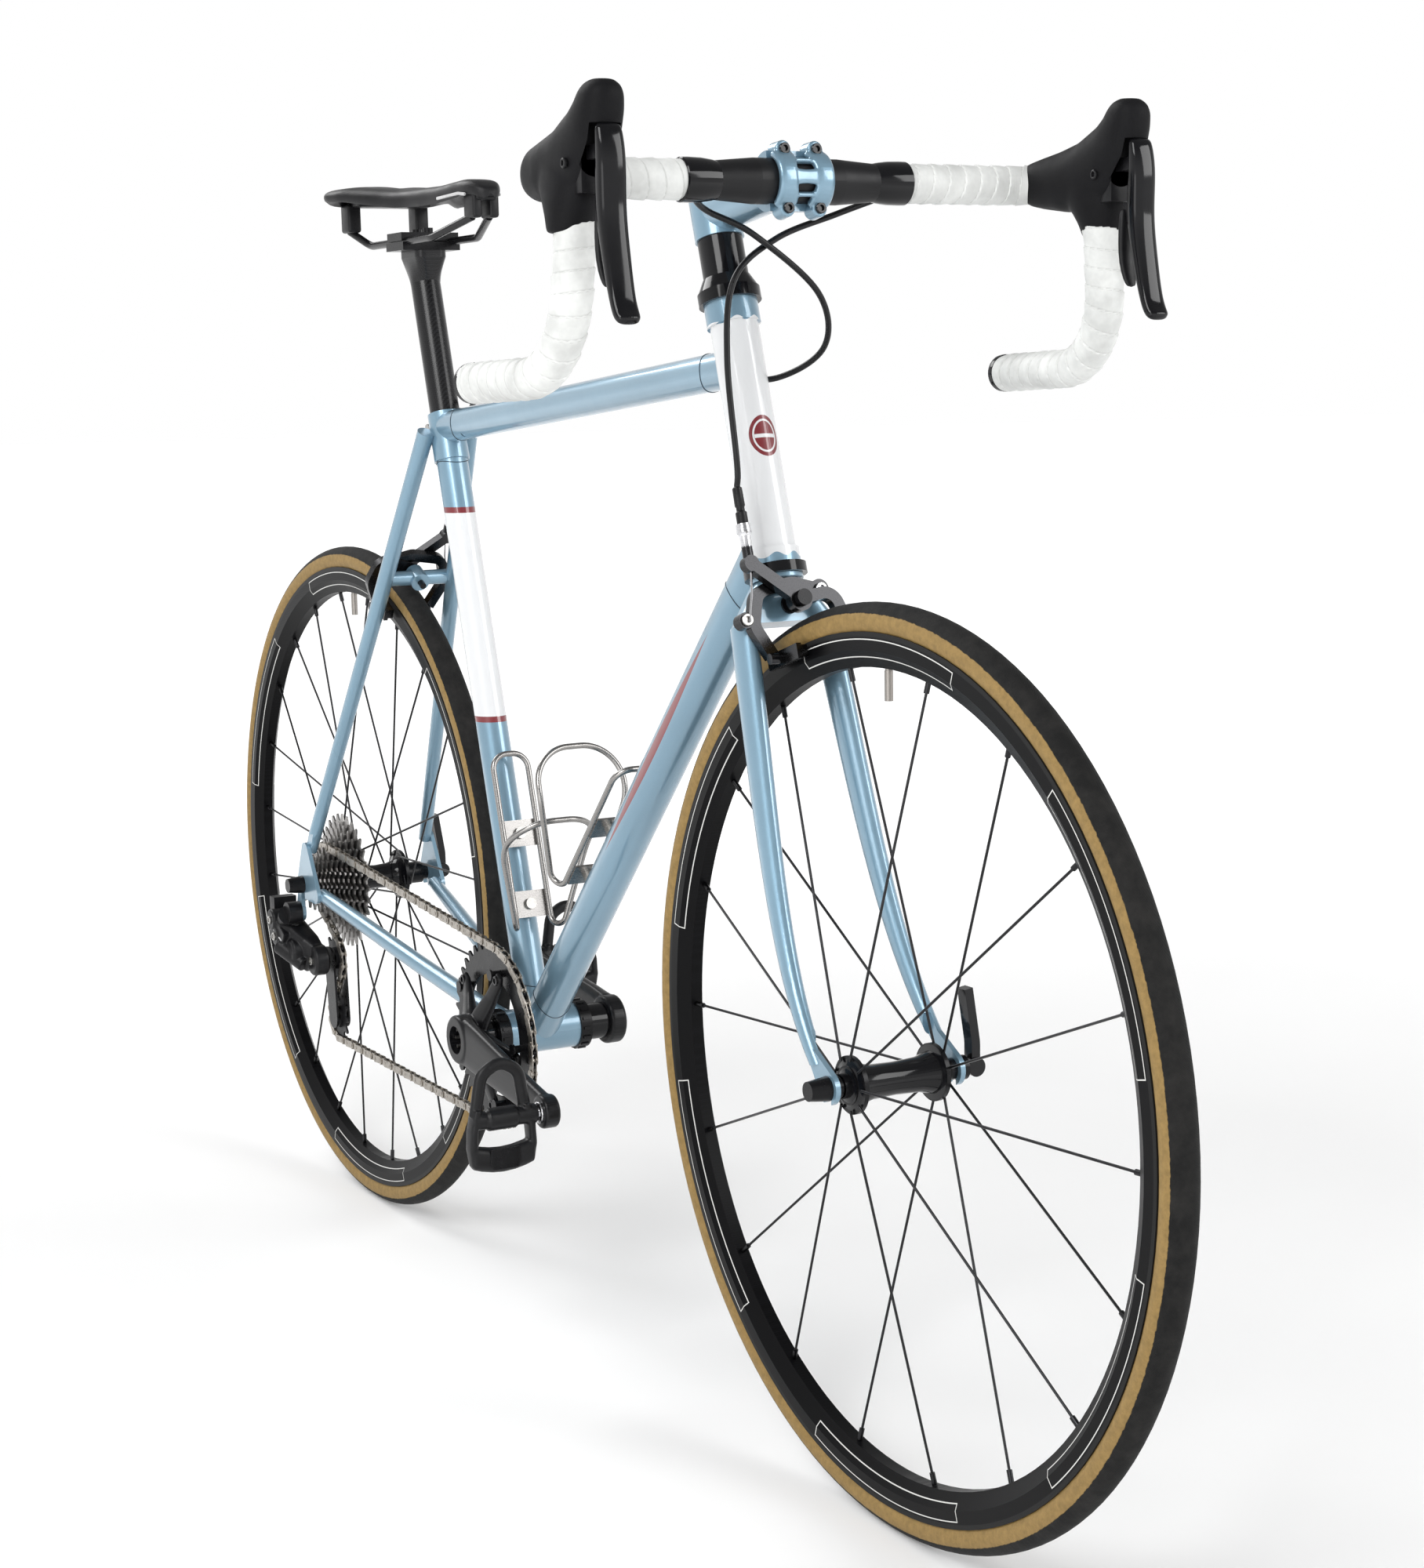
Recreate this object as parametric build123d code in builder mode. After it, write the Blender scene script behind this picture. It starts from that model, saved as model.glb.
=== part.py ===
from build123d import *
import os
from math import acos, atan2, cos, degrees, hypot, pi, radians, sin

# Road bicycle, millimetres. X forward, Y to the rider's left, Z up.
# Origin: where the rear tyre meets the floor.

os.makedirs("parts", exist_ok=True)

# ---- driving dimensions ----
WHEEL_RADIUS = 336.0
WHEELBASE = 1000.0
TYRE_WIDTH = 25.0
RIM_OUTER = 316.0
RIM_INNER = 291.0
RIM_WIDTH = 23.0
BB_X = 404.0
BB_Z = 256.0
BB_SHELL_WIDTH = 68.0
SEAT_ANGLE = 74.0
HEAD_ANGLE = 73.0
FORK_RAKE = 45.0
SEAT_TUBE_DIAMETER = 28.6
TOP_TUBE_DIAMETER = 28.6
DOWN_TUBE_DIAMETER = 35.0
HEAD_TUBE_DIAMETER = 36.4
TUBE_WALL = 1.2
SEAT_TUBE_LENGTH = 568.0
HEAD_LOW = 383.0          # along the steering axis, from the foot of the fork rake
HEAD_HIGH = 583.0
CROWN_RACE = 375.0
CUP_TOP = 592.0
SPACER_TOP = 632.0
STEM_HIGH = 674.0
FRONT_OLD = 100.0
REAR_OLD = 130.0
DROPOUT_THICKNESS = 4.0
CRANK_LENGTH = 175.0
CRANK_DROP = 9.0          # degrees below level, right arm
RING_TEETH = 40
COG_TEETH = (11, 12, 13, 14, 16, 18, 20, 22, 25, 28, 32)
CHAIN_COG = 5             # place of the cog that carries the chain
COG_SPACING = 3.74
PULLEY_TEETH = 11
CHAIN_PITCH = 12.7
CHAIN_LINE = 42.0
RUN_GAP = 0.05            # radial clearance of a running fit
REST_GAP = 0.1            # clearance of pieces that only rest together
FRONT_SPOKES = 18
REAR_SPOKES = 24
BAR_CLAMP_RADIUS = 15.9
BAR_RADIUS = 11.9
TAPE_RADIUS = 14.0
BAR_HALF = 208.0
CABLE_RADIUS = 2.2
AXLE_RADIUS = 4.95
BRAKE_BOLT_RADIUS = 3.0
COLLAR = 2.0              # the head tube grows by this at its ends
LOW_COLLAR = 12.0
HIGH_COLLAR = 17.0
SHELL_RADIUS = 20.5
SHELL_BORE = 17.5         # through the bottom bracket shell
SPINDLE_RADIUS = 12.0
SEATPOST_RADIUS = 13.6
STAY_END_X = 34.0
STEERER_RADIUS = 14.3
RAIL_SPREAD = 22.0
RAIL_RADIUS = 3.5
RAIL_Z = 957.0            # height of the straight part of the rails
CLAMP_X = 211.0
SADDLE_BASE = 972.0       # height of the underside
WIRE_RADIUS = 2.6
CAGE_STANDOFF = 9.0
SEAT_BOLTS = (111.0, 175.0) # bottle cage bolts, along the seat tube
DOWN_BOLTS = (194.0, 258.0) # bottle cage bolts, along the down tube
NUT_RADIUS = 9.0
VALVE_RADIUS = 3.0
VALVE_NECK = 2.6
VALVE_LENGTH = 42.0
VALVE_GRIP = 21.0         # bare length that a pump head grips
FRONT_FLANGES = ((-34.0, 18.0), (34.0, 18.0)) # place across and radius of the spoke holes
REAR_FLANGES = ((-17.0, 25.0), (36.0, 22.0))
RING_BOLT_CIRCLE = 62.0
RING_BOLTS = 5
ARM_INNER = 66.0
ARM_OUTER = 80.0
PEDAL_AXLE = 4.5
CAGE_GAP = 5.2
BLADE_SPREAD = 34.0
BAR_RADII = (34, 44, 58)
HOOD_BACK = 902.0         # rear end of a hood
HOOD_LOW = 938.0
SLOT_HALF = 7.5
ARM_B_PIVOT = (22.0, 8.0)
PAD_LENGTH = 44.0
WIRE_INNER = 0.8
CABLE_STOP = Vector(-36, 59, 27) # in the brake's own view
HANGER = Vector(-8, 0, 306)

# ---- derived places ----
REAR_AXLE = Vector(0, 0, WHEEL_RADIUS)
FRONT_AXLE = Vector(WHEELBASE, 0, WHEEL_RADIUS)
BB = Vector(BB_X, 0, BB_Z)
AXIS = Vector(-cos(radians(HEAD_ANGLE)), 0, sin(radians(HEAD_ANGLE)))
AHEAD = Vector(sin(radians(HEAD_ANGLE)), 0, cos(radians(HEAD_ANGLE)))
FOOT = FRONT_AXLE - AHEAD * FORK_RAKE
SEAT_DIR = Vector(-cos(radians(SEAT_ANGLE)), 0, sin(radians(SEAT_ANGLE)))
ACROSS = Vector(0, 1, 0)
SEAT_CLUSTER = Vector(252, 0, 790)
TOP_TUBE_HEAD = Vector(800.6, 0, 834.2)
DOWN_TUBE_HEAD = Vector(838.7, 0, 705)
DOWN_DIR = (DOWN_TUBE_HEAD - BB).normalized()
BRIDGE = Vector(166, 0, 649)
BRIDGE_OUT = (BRIDGE - REAR_AXLE).normalized()
FORK_BRAKE = 352.0        # brake bolt, along the steering axis
FRONT_REACH = 42.0
REAR_REACH = 45.5
BAR_CENTRE = Vector(881.5, 0, 961)
GUIDE_PULLEY = Vector(12, -CHAIN_LINE, 259)
TENSION_PULLEY = Vector(17, -CHAIN_LINE, 199)


def pitch_radius(teeth):
    return CHAIN_PITCH / 2 / sin(pi / teeth)


def steer(along, ahead=0.0, side=0.0):
    """Point in the steering frame: along the axis, ahead of it, to the left."""
    return FOOT + AXIS * along + AHEAD * ahead + ACROSS * side


def side_plane(centre):
    """Plane facing the rider's right: its x is X and its y is Z."""
    return Plane(origin=centre, x_dir=(1, 0, 0), z_dir=(0, -1, 0))


def rod(start, end, radius, mode=Mode.ADD):
    with BuildSketch(Plane(origin=start, z_dir=end - start)) as face:
        Circle(radius)
    extrude(face.sketch, amount=(end - start).length, mode=mode)


def taper(start, end, start_radius, end_radius, mode=Mode.ADD):
    with BuildSketch(Plane(origin=start, z_dir=end - start)) as near:
        Circle(start_radius)
    with BuildSketch(Plane(origin=end, z_dir=end - start)) as far:
        Circle(end_radius)
    loft((near.sketch, far.sketch), mode=mode)


def disc(centre, radius, width, mode=Mode.ADD):
    """Cylinder lying across the bicycle, centred on a point."""
    with BuildSketch(side_plane(centre)) as face:
        Circle(radius)
    extrude(face.sketch, amount=width / 2, both=True, mode=mode)


def box(centre, size, mode=Mode.ADD):
    with BuildSketch(Plane.XY.offset(centre.Z - size[2] / 2)) as face:
        with Locations((centre.X, centre.Y)):
            Rectangle(size[0], size[1])
    extrude(face.sketch, amount=size[2], mode=mode)


def sweep_round(points, radii, radius, mode=Mode.ADD):
    """Round bar along straight runs joined by arcs."""
    with BuildLine() as path:
        FilletPolyline(*points, radius=radii)
    with BuildSketch(Plane(origin=path.line @ 0, z_dir=path.line % 0)) as face:
        Circle(radius)
    sweep(face.sketch, path=path.line, mode=mode)


def save(piece, name):
    piece.part.label = name
    export_step(piece.part, f"parts/{name}.step")


# ---- frame tubes ----
def hollow_tube(start, end, diameter):
    rod(start, end, diameter / 2)
    rod(start, end, diameter / 2 - TUBE_WALL, Mode.SUBTRACT)


def make_head_tube():
    bore = HEAD_TUBE_DIAMETER / 2 - 2
    with BuildPart() as tube:
        rod(steer(HEAD_LOW), steer(HEAD_HIGH), HEAD_TUBE_DIAMETER / 2)
        rod(steer(HEAD_LOW), steer(HEAD_LOW + LOW_COLLAR), HEAD_TUBE_DIAMETER / 2 + COLLAR)
        rod(steer(HEAD_HIGH - HIGH_COLLAR), steer(HEAD_HIGH), HEAD_TUBE_DIAMETER / 2 + COLLAR)
        rod(steer(HEAD_LOW), steer(HEAD_HIGH), bore, Mode.SUBTRACT)
    save(tube, "head_tube")


def cut_head():
    """Trims a frame tube to the outside of the head tube and its two collars."""
    radius = HEAD_TUBE_DIAMETER / 2
    rod(steer(HEAD_LOW - 20), steer(HEAD_HIGH + 20), radius, Mode.SUBTRACT)
    rod(steer(HEAD_LOW - 20), steer(HEAD_LOW + LOW_COLLAR), radius + COLLAR, Mode.SUBTRACT)
    rod(steer(HEAD_HIGH - HIGH_COLLAR), steer(HEAD_HIGH + 20), radius + COLLAR, Mode.SUBTRACT)


def cut_seat():
    rod(BB, BB + SEAT_DIR * (SEAT_TUBE_LENGTH + 20), SEAT_TUBE_DIAMETER / 2 + 2, Mode.SUBTRACT)


def make_top_tube():
    entry = Vector(737, 0, 826)
    outlet = Vector(308, -8, 784)
    hole = CABLE_RADIUS + 1.2
    with BuildPart() as tube:
        hollow_tube(SEAT_CLUSTER, TOP_TUBE_HEAD, TOP_TUBE_DIAMETER)
        rod(entry, entry + Vector(38, 31, 0), hole, Mode.SUBTRACT)
        rod(outlet, outlet + Vector(-36, 28, 34), hole, Mode.SUBTRACT)
        cut_head()
        cut_seat()
    save(tube, "top_tube")


def make_down_tube():
    with BuildPart() as tube:
        hollow_tube(BB, DOWN_TUBE_HEAD, DOWN_TUBE_DIAMETER)
        cut_head()
        disc(BB, SHELL_RADIUS, BB_SHELL_WIDTH, Mode.SUBTRACT)
        rod(BB, BB + SEAT_DIR * 200, SEAT_TUBE_DIAMETER / 2 + REST_GAP, Mode.SUBTRACT)
        rod(steer(CROWN_RACE - 10), steer(HEAD_LOW + 0.1), 23.7, Mode.SUBTRACT)
    save(tube, "down_tube")


def make_seat_tube():
    lug_length = 44.0
    top = BB + SEAT_DIR * SEAT_TUBE_LENGTH
    with BuildPart() as tube:
        rod(BB, top, SEAT_TUBE_DIAMETER / 2)
        rod(top - SEAT_DIR * lug_length, top, SEAT_TUBE_DIAMETER / 2 + 2)
        rod(BB, top, SEATPOST_RADIUS, Mode.SUBTRACT)
        disc(BB, SHELL_RADIUS, BB_SHELL_WIDTH)
        disc(BB, SHELL_BORE, BB_SHELL_WIDTH, Mode.SUBTRACT)
    save(tube, "seat_tube")


def dropout_plates():
    slot = AXLE_RADIUS + RUN_GAP
    for side in (-1, 1):
        middle = side * (REAR_OLD + DROPOUT_THICKNESS) / 2
        with BuildSketch(side_plane(Vector(0, middle, 0))) as plate:
            with Locations((0, WHEEL_RADIUS)):
                Circle(14)
            with Locations((STAY_END_X, 329)):
                Circle(8)
            with Locations((10, 372)):
                Circle(8)
            make_hull()
        extrude(plate.sketch, amount=DROPOUT_THICKNESS / 2, both=True)
    middle = -(REAR_OLD + DROPOUT_THICKNESS) / 2
    with BuildSketch(side_plane(Vector(0, middle, 0))) as hanger:
        with Locations((HANGER.X - 4, HANGER.Z)):
            Circle(9)
        with Locations((-10, 326)):
            Circle(4)
        make_hull()
    extrude(hanger.sketch, amount=DROPOUT_THICKNESS / 2, both=True)
    bolt = Vector(HANGER.X - 4, middle, HANGER.Z)
    disc(bolt, 5, 2 * DROPOUT_THICKNESS, Mode.SUBTRACT)
    disc(REAR_AXLE, slot, 2 * REAR_OLD, Mode.SUBTRACT)
    box(REAR_AXLE - Vector(0, 0, 12), (2 * slot, 2 * REAR_OLD, 24), Mode.SUBTRACT)


STAY_SECTIONS = (
    (392, 17, 258.2, 10),
    (300, 27.5, 273.4, 8.8),
    (160, 45, 302, 8),
    (STAY_END_X, 60.5, 329, 6.5),
)


def make_chain_stays():
    with BuildPart() as stays:
        for side in (-1, 1):
            sections = []
            for x, across, z, radius in STAY_SECTIONS:
                with BuildSketch(Plane(origin=(x, across * side, z), x_dir=(0, 1, 0), z_dir=(-1, 0, 0))) as face:
                    Circle(radius)
                sections.append(face.sketch)
            loft(sections)
        disc(BB, SHELL_RADIUS, BB_SHELL_WIDTH, Mode.SUBTRACT)
        dropout_plates()
    save(stays, "chain_stays")


def make_seat_stays():
    bridge_radius = 7.0
    with BuildPart() as stays:
        for side in (-1, 1):
            top = Vector(252, 21.5 * side, 786)
            end = Vector(10, 62 * side, 372)
            taper(top, end, 8, 6.5)
        spread = 33.0
        rod(BRIDGE - ACROSS * spread, BRIDGE + ACROSS * spread, bridge_radius)
        ahead = BRIDGE_OUT.cross(ACROSS)
        rod(BRIDGE - ahead * 9, BRIDGE + ahead * 9, 9)
        rod(BRIDGE - ahead * 12, BRIDGE + ahead * 12, BRAKE_BOLT_RADIUS, Mode.SUBTRACT)
        rod(BB, BB + SEAT_DIR * (SEAT_TUBE_LENGTH + 20), SEAT_TUBE_DIAMETER / 2 + 2, Mode.SUBTRACT)
        for side in (-1, 1):
            box(Vector(0, side * (REAR_OLD / 2 + 10 - 0.1), 350), (80, 20, 80), Mode.SUBTRACT)
    save(stays, "seat_stays")


def make_headset():
    steerer = STEERER_RADIUS + RUN_GAP
    cup = 23.5
    with BuildPart() as cups:
        rod(steer(CROWN_RACE + 0.2), steer(HEAD_LOW), cup)
        rod(steer(HEAD_LOW), steer(HEAD_LOW + 14), HEAD_TUBE_DIAMETER / 2 - 2.02)
        rod(steer(HEAD_HIGH), steer(CUP_TOP), cup)
        rod(steer(HEAD_HIGH - 14), steer(HEAD_HIGH), HEAD_TUBE_DIAMETER / 2 - 2.02)
        rod(steer(CROWN_RACE), steer(CUP_TOP), steerer, Mode.SUBTRACT)
    save(cups, "headset_cups")


def make_bottom_cups():
    with BuildPart() as cups:
        for side in (-1, 1):
            rod(BB + ACROSS * (side * BB_SHELL_WIDTH / 2), BB + ACROSS * (side * 45), 22)
            rod(BB + ACROSS * (side * 20), BB + ACROSS * (side * BB_SHELL_WIDTH / 2), SHELL_BORE - 0.02)
        disc(BB, SPINDLE_RADIUS + RUN_GAP, 100, Mode.SUBTRACT)
    save(cups, "bottom_bracket_cups")


# ---- saddle and post ----


def make_seatpost():
    head = Vector(CLAMP_X, 0, RAIL_Z - 14)
    with BuildPart() as post:
        rod(BB + SEAT_DIR * 430, BB + SEAT_DIR * 698, SEATPOST_RADIUS - 0.02)
        with BuildSketch(Plane(origin=BB + SEAT_DIR * 690, z_dir=SEAT_DIR)):
            Circle(SEATPOST_RADIUS - 0.02)
        with BuildSketch(Plane.XY.offset(head.Z)):
            with Locations((head.X, 0)):
                RectangleRounded(46, 30, 8)
        loft()
        with BuildSketch(Plane.XY.offset(head.Z)):
            with Locations((head.X, 0)):
                RectangleRounded(46, 30, 8)
        extrude(amount=6)
    save(post, "seatpost")


def make_saddle_clamp():
    with BuildPart() as clamp:
        box(Vector(CLAMP_X, 0, RAIL_Z - 4.2), (40, 2 * RAIL_SPREAD + 12, 7.4))
        box(Vector(CLAMP_X, 0, RAIL_Z + 4.2), (34, 2 * RAIL_SPREAD + 12, 7.4))
        for side in (-1, 1):
            centre = Vector(CLAMP_X, side * RAIL_SPREAD, RAIL_Z)
            rod(centre - Vector(30, 0, 0), centre + Vector(30, 0, 0), RAIL_RADIUS, Mode.SUBTRACT)
        for place in (-13, 13):
            low = Vector(CLAMP_X + place, 0, RAIL_Z - 8)
            rod(low + Vector(0, 0, 15.9), low + Vector(0, 0, 20), 4.5)
    save(clamp, "saddle_clamp")


def make_saddle_rails():
    with BuildPart() as rails:
        for side in (-1, 1):
            points = (
                (342, 8 * side, SADDLE_BASE - 0.5),
                (285, RAIL_SPREAD * side, RAIL_Z),
                (140, RAIL_SPREAD * side, RAIL_Z),
                (118, 34 * side, SADDLE_BASE - 0.5),
            )
            sweep_round(points, (28, 20), RAIL_RADIUS)
        box(Vector(230, 0, SADDLE_BASE + 5), (300, 130, 10), Mode.SUBTRACT)
    save(rails, "saddle_rails")


def make_saddle():
    nose = (349, 0)
    waist = (238, 0)
    wing = (132, 42)
    with BuildPart() as cover:
        with BuildSketch(Plane.XY.offset(SADDLE_BASE)):
            with BuildSketch() as front:
                with Locations(nose):
                    Circle(17)
                with Locations(waist):
                    Circle(26)
                make_hull()
            with BuildSketch() as rear:
                with Locations(waist):
                    Circle(26)
                with Locations(wing, (wing[0], -wing[1])):
                    Circle(23)
                make_hull()
        extrude(amount=38)
        fillet(cover.faces().sort_by(Axis.Z)[-1].edges(), 8)
    save(cover, "saddle_cover")


# ---- bottle cages ----


def cage_wire(base):
    half = (
        (4, 17, 104), (4, 17, -78), (50, 41, 12), (91, 38, 30),
    )
    route = list(half) + [(x, -y, z) for x, y, z in reversed(half)]
    points = [base.from_local_coords(Vector(*place)) for place in route]
    radii = (14, 9, 34, 34, 34, 34, 9, 14)
    with BuildLine() as path:
        FilletPolyline(*points, radius=radii, close=True)
    with BuildSketch(Plane(origin=path.line @ 0, z_dir=path.line % 0)) as face:
        Circle(WIRE_RADIUS)
    sweep(face.sketch, path=path.line)


def make_cage(name, foot, along, outward, bolts):
    middle = foot + along * ((bolts[0] + bolts[1]) / 2) + outward * CAGE_STANDOFF
    base = Plane(origin=middle, x_dir=outward, z_dir=along)
    with BuildPart() as cage:
        cage_wire(base)
        for bolt in bolts:
            height = bolt - (bolts[0] + bolts[1]) / 2
            with BuildSketch(base.offset(height - 12)):
                with Locations((0.9, 0)):
                    Rectangle(1.8, 33)
            extrude(amount=24)
            centre = middle + along * height
            rod(centre - outward * 3, centre + outward * 5, 2.7, Mode.SUBTRACT)
    save(cage, name)


SEAT_OUT = Vector(sin(radians(SEAT_ANGLE)), 0, cos(radians(SEAT_ANGLE)))
DOWN_OUT = Vector(-DOWN_DIR.Z, 0, DOWN_DIR.X)


def make_frame_bolts():
    with BuildPart() as bolts:
        for foot, along, outward, places in (
            (BB + SEAT_OUT * (SEAT_TUBE_DIAMETER / 2), SEAT_DIR, SEAT_OUT, SEAT_BOLTS),
            (BB + DOWN_OUT * (DOWN_TUBE_DIAMETER / 2), DOWN_DIR, DOWN_OUT, DOWN_BOLTS),
        ):
            for place in places:
                centre = foot + along * place
                rod(centre + outward * 0.3, centre + outward * CAGE_STANDOFF, 6)
                rod(centre + outward * (CAGE_STANDOFF - 2), centre + outward * (CAGE_STANDOFF + 2), 2.5)
                rod(centre + outward * (CAGE_STANDOFF + 1.9), centre + outward * (CAGE_STANDOFF + 5), 5)
        binder = BB + SEAT_DIR * (SEAT_TUBE_LENGTH - 8) - SEAT_OUT * 21
        rod(binder - ACROSS * 11, binder + ACROSS * 11, 4.5)
    save(bolts, "frame_bolts")


# ---- axles ----


def axle_set(centre, old, name):
    """Axle, lock nuts, skewer, its nut on the right and its cam housing on the left."""
    outer = old / 2 + DROPOUT_THICKNESS + REST_GAP
    with BuildPart() as axle:
        disc(centre, AXLE_RADIUS, old + 2 * DROPOUT_THICKNESS - 1)
        for side in (-1, 1):
            rod(centre + ACROSS * (side * (old / 2 - 5)), centre + ACROSS * (side * (old / 2 - 0.05)), 8)
        rod(centre - ACROSS * (outer + 14), centre + ACROSS * (outer + 6), 2.5)
        taper(centre - ACROSS * outer, centre - ACROSS * (outer + 16), NUT_RADIUS, NUT_RADIUS - 2)
        rod(centre + ACROSS * outer, centre + ACROSS * (outer + 6), NUT_RADIUS)
    save(axle, name)


def make_skewer_lever(centre, old, name, ahead, up):
    """Curved cam lever; its cam turns in front of the housing."""
    hub = centre + ACROSS * (old / 2 + DROPOUT_THICKNESS + 13.6)
    with BuildPart() as lever:
        rod(hub - ahead * 6.5, hub + ahead * 6.5, 7)
        with BuildSketch(Plane(origin=hub - ahead * 5, x_dir=ACROSS, z_dir=ahead)):
            with BuildLine():
                FilletPolyline((0, 0), (0, 18 * up), (-6, 58 * up), radius=30)
            trace(line_width=7)
        extrude(amount=10)
    save(lever, name)


# ---- wheels ----
def ring_profile(centre):
    """Plane through the axle: x is across the wheel and y is the radius."""
    return Plane(origin=centre, x_dir=(0, 1, 0), z_dir=(1, 0, 0))


def make_tyre(centre, name):
    half = TYRE_WIDTH / 2
    middle = WHEEL_RADIUS - half
    wall = 2.2
    bead = 10.0
    with BuildPart() as tyre:
        with BuildSketch(ring_profile(centre)):
            with Locations((0, middle)):
                Circle(half)
            with Locations((0, RIM_OUTER - 20)):
                Rectangle(2 * half, 40, mode=Mode.SUBTRACT)
            with Locations((0, RIM_OUTER - 2)):
                Rectangle(2 * bead, 6)
            with Locations((0, middle)):
                Circle(half - wall, mode=Mode.SUBTRACT)
            with Locations((0, RIM_OUTER - 2)):
                Rectangle(2 * (bead - wall), 12, mode=Mode.SUBTRACT)
        revolve(axis=Axis(centre, ACROSS))
    save(tyre, name)


def rim_section():
    with BuildLine() as edge:
        right = [(RIM_WIDTH / 2, RIM_OUTER), (RIM_WIDTH / 2, RIM_OUTER - 13), (5.0, RIM_INNER)]
        Polyline(*right, *[(-x, y) for x, y in reversed(right)], close=True)
    make_face(edge.edges())
    with Locations((0, RIM_OUTER)):
        Rectangle(20.2, 10.4, mode=Mode.SUBTRACT)


def make_rim(centre, name):
    with BuildPart() as rim:
        with BuildSketch(ring_profile(centre)):
            rim_section()
        revolve(axis=Axis(centre, ACROSS))
        top = centre + Vector(0, 0, RIM_OUTER - 6)
        neck = top - Vector(0, 0, VALVE_LENGTH - VALVE_GRIP)
        hole = VALVE_NECK + REST_GAP
        rod(centre + Vector(0, 0, RIM_INNER - 5), centre + Vector(0, 0, RIM_OUTER), hole, Mode.SUBTRACT)
        rod(neck, top, VALVE_NECK)
        rod(neck - Vector(0, 0, VALVE_GRIP), neck, VALVE_RADIUS)
    save(rim, name)


def make_hub(centre, flanges, ends, body, name):
    with BuildPart() as hub:
        rod(centre + ACROSS * ends[0], centre + ACROSS * ends[1], body)
        for place, radius in flanges:
            disc(centre + ACROSS * place, radius + 3, 3.4)
            disc(centre + ACROSS * place, body + 5, 8)
        disc(centre, AXLE_RADIUS + RUN_GAP, 2 * REAR_OLD, Mode.SUBTRACT)
        for edge in ends:
            disc(centre + ACROSS * edge, 8.4, 12, Mode.SUBTRACT)
    save(hub, name)


def spoke(start, end):
    away = (end - start).normalized()
    rod(start, end, 1.0)
    rod(end - away * 9, end, 2.0)


def make_spokes(centre, flanges, count, cross, name):
    """Spokes in two sides; cross is the angle each leads or trails its rim hole."""
    with BuildPart() as spokes:
        for index in range(count):
            turn = 2 * pi * (index + 0.5) / count
            place, radius = flanges[index % 2]
            lead = cross * (1 if (index // 2) % 2 else -1)
            shift = (3.6 if (index // 2) % 2 else -3.6) if cross else 3.3 * place / abs(place)
            hub_turn = turn + radians(lead)
            start = centre + Vector(radius * sin(hub_turn), place + shift, radius * cos(hub_turn))
            end = centre + Vector((RIM_INNER - 0.3) * sin(turn), 0, (RIM_INNER - 0.3) * cos(turn))
            spoke(start, end)
    save(spokes, name)


# ---- toothed pieces ----
def toothed_outline(teeth, tip):
    """Sprocket outline with one flat-topped tooth for each pitch."""
    root = pitch_radius(teeth) - 4.2
    top = pitch_radius(teeth) + tip
    step = 2 * pi / teeth
    points = []
    for index in range(teeth):
        middle = index * step
        for share, radius in ((-0.34, root), (-0.09, top), (0.09, top), (0.34, root)):
            angle = middle + share * step
            points.append((radius * cos(angle), radius * sin(angle)))
    Polyline(*points, close=True)


def make_cassette():
    body = 16.5
    with BuildPart() as cassette:
        for index, teeth in enumerate(COG_TEETH):
            across = -CHAIN_LINE + COG_SPACING * (index - CHAIN_COG)
            with BuildSketch(side_plane(REAR_AXLE + ACROSS * across)):
                with BuildLine():
                    toothed_outline(teeth, 3.0)
                make_face()
            extrude(amount=0.9, both=True)
        low = REAR_AXLE - ACROSS * (CHAIN_LINE + COG_SPACING * CHAIN_COG + 1.2)
        rod(low, low + ACROSS * (COG_SPACING * 10 + 2.4), body)
        disc(REAR_AXLE - ACROSS * CHAIN_LINE, AXLE_RADIUS + RUN_GAP, 60, Mode.SUBTRACT)
        rod(low - ACROSS * 5, low + ACROSS * 6, 8.4, Mode.SUBTRACT)
    save(cassette, "cassette")


def make_chainring():
    with BuildPart() as ring:
        with BuildSketch(side_plane(BB - ACROSS * CHAIN_LINE)):
            with BuildLine():
                toothed_outline(RING_TEETH, 3.0)
            make_face()
            Circle(RING_BOLT_CIRCLE - 7, mode=Mode.SUBTRACT)
            with PolarLocations(RING_BOLT_CIRCLE, RING_BOLTS):
                Circle(3.5, mode=Mode.SUBTRACT)
        extrude(amount=1.0, both=True)
        for index in range(RING_BOLTS):
            turn = 2 * pi * index / RING_BOLTS
            centre = BB + Vector(RING_BOLT_CIRCLE * cos(turn), -CHAIN_LINE, RING_BOLT_CIRCLE * sin(turn))
            rod(centre + ACROSS * 2.6, centre - ACROSS * 12, 3.4)
            rod(centre + ACROSS * 1.1, centre + ACROSS * 2.6, 5)
            rod(centre - ACROSS * 10, centre - ACROSS * 12, 5)
    save(ring, "chainring")


# ---- cranks and pedals ----


def crank_arm(side, turn):
    """Arm on one side, pointing turn degrees above forward."""
    end = BB + Vector(CRANK_LENGTH * cos(radians(turn)), 0, CRANK_LENGTH * sin(radians(turn)))
    with BuildSketch(side_plane(BB + ACROSS * (side * (ARM_INNER + ARM_OUTER) / 2))) as face:
        Circle(21)
        with Locations((end.X - BB.X, end.Z - BB.Z)):
            Circle(13.5)
        make_hull()
    extrude(face.sketch, amount=(ARM_OUTER - ARM_INNER) / 2, both=True)
    return end


def pedal_axle(end, side):
    rod(end + ACROSS * (side * ARM_OUTER), end + ACROSS * (side * (ARM_OUTER + 2.5)), 9)
    rod(end + ACROSS * (side * (ARM_OUTER - 6)), end + ACROSS * (side * (ARM_OUTER + 46)), PEDAL_AXLE)


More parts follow.
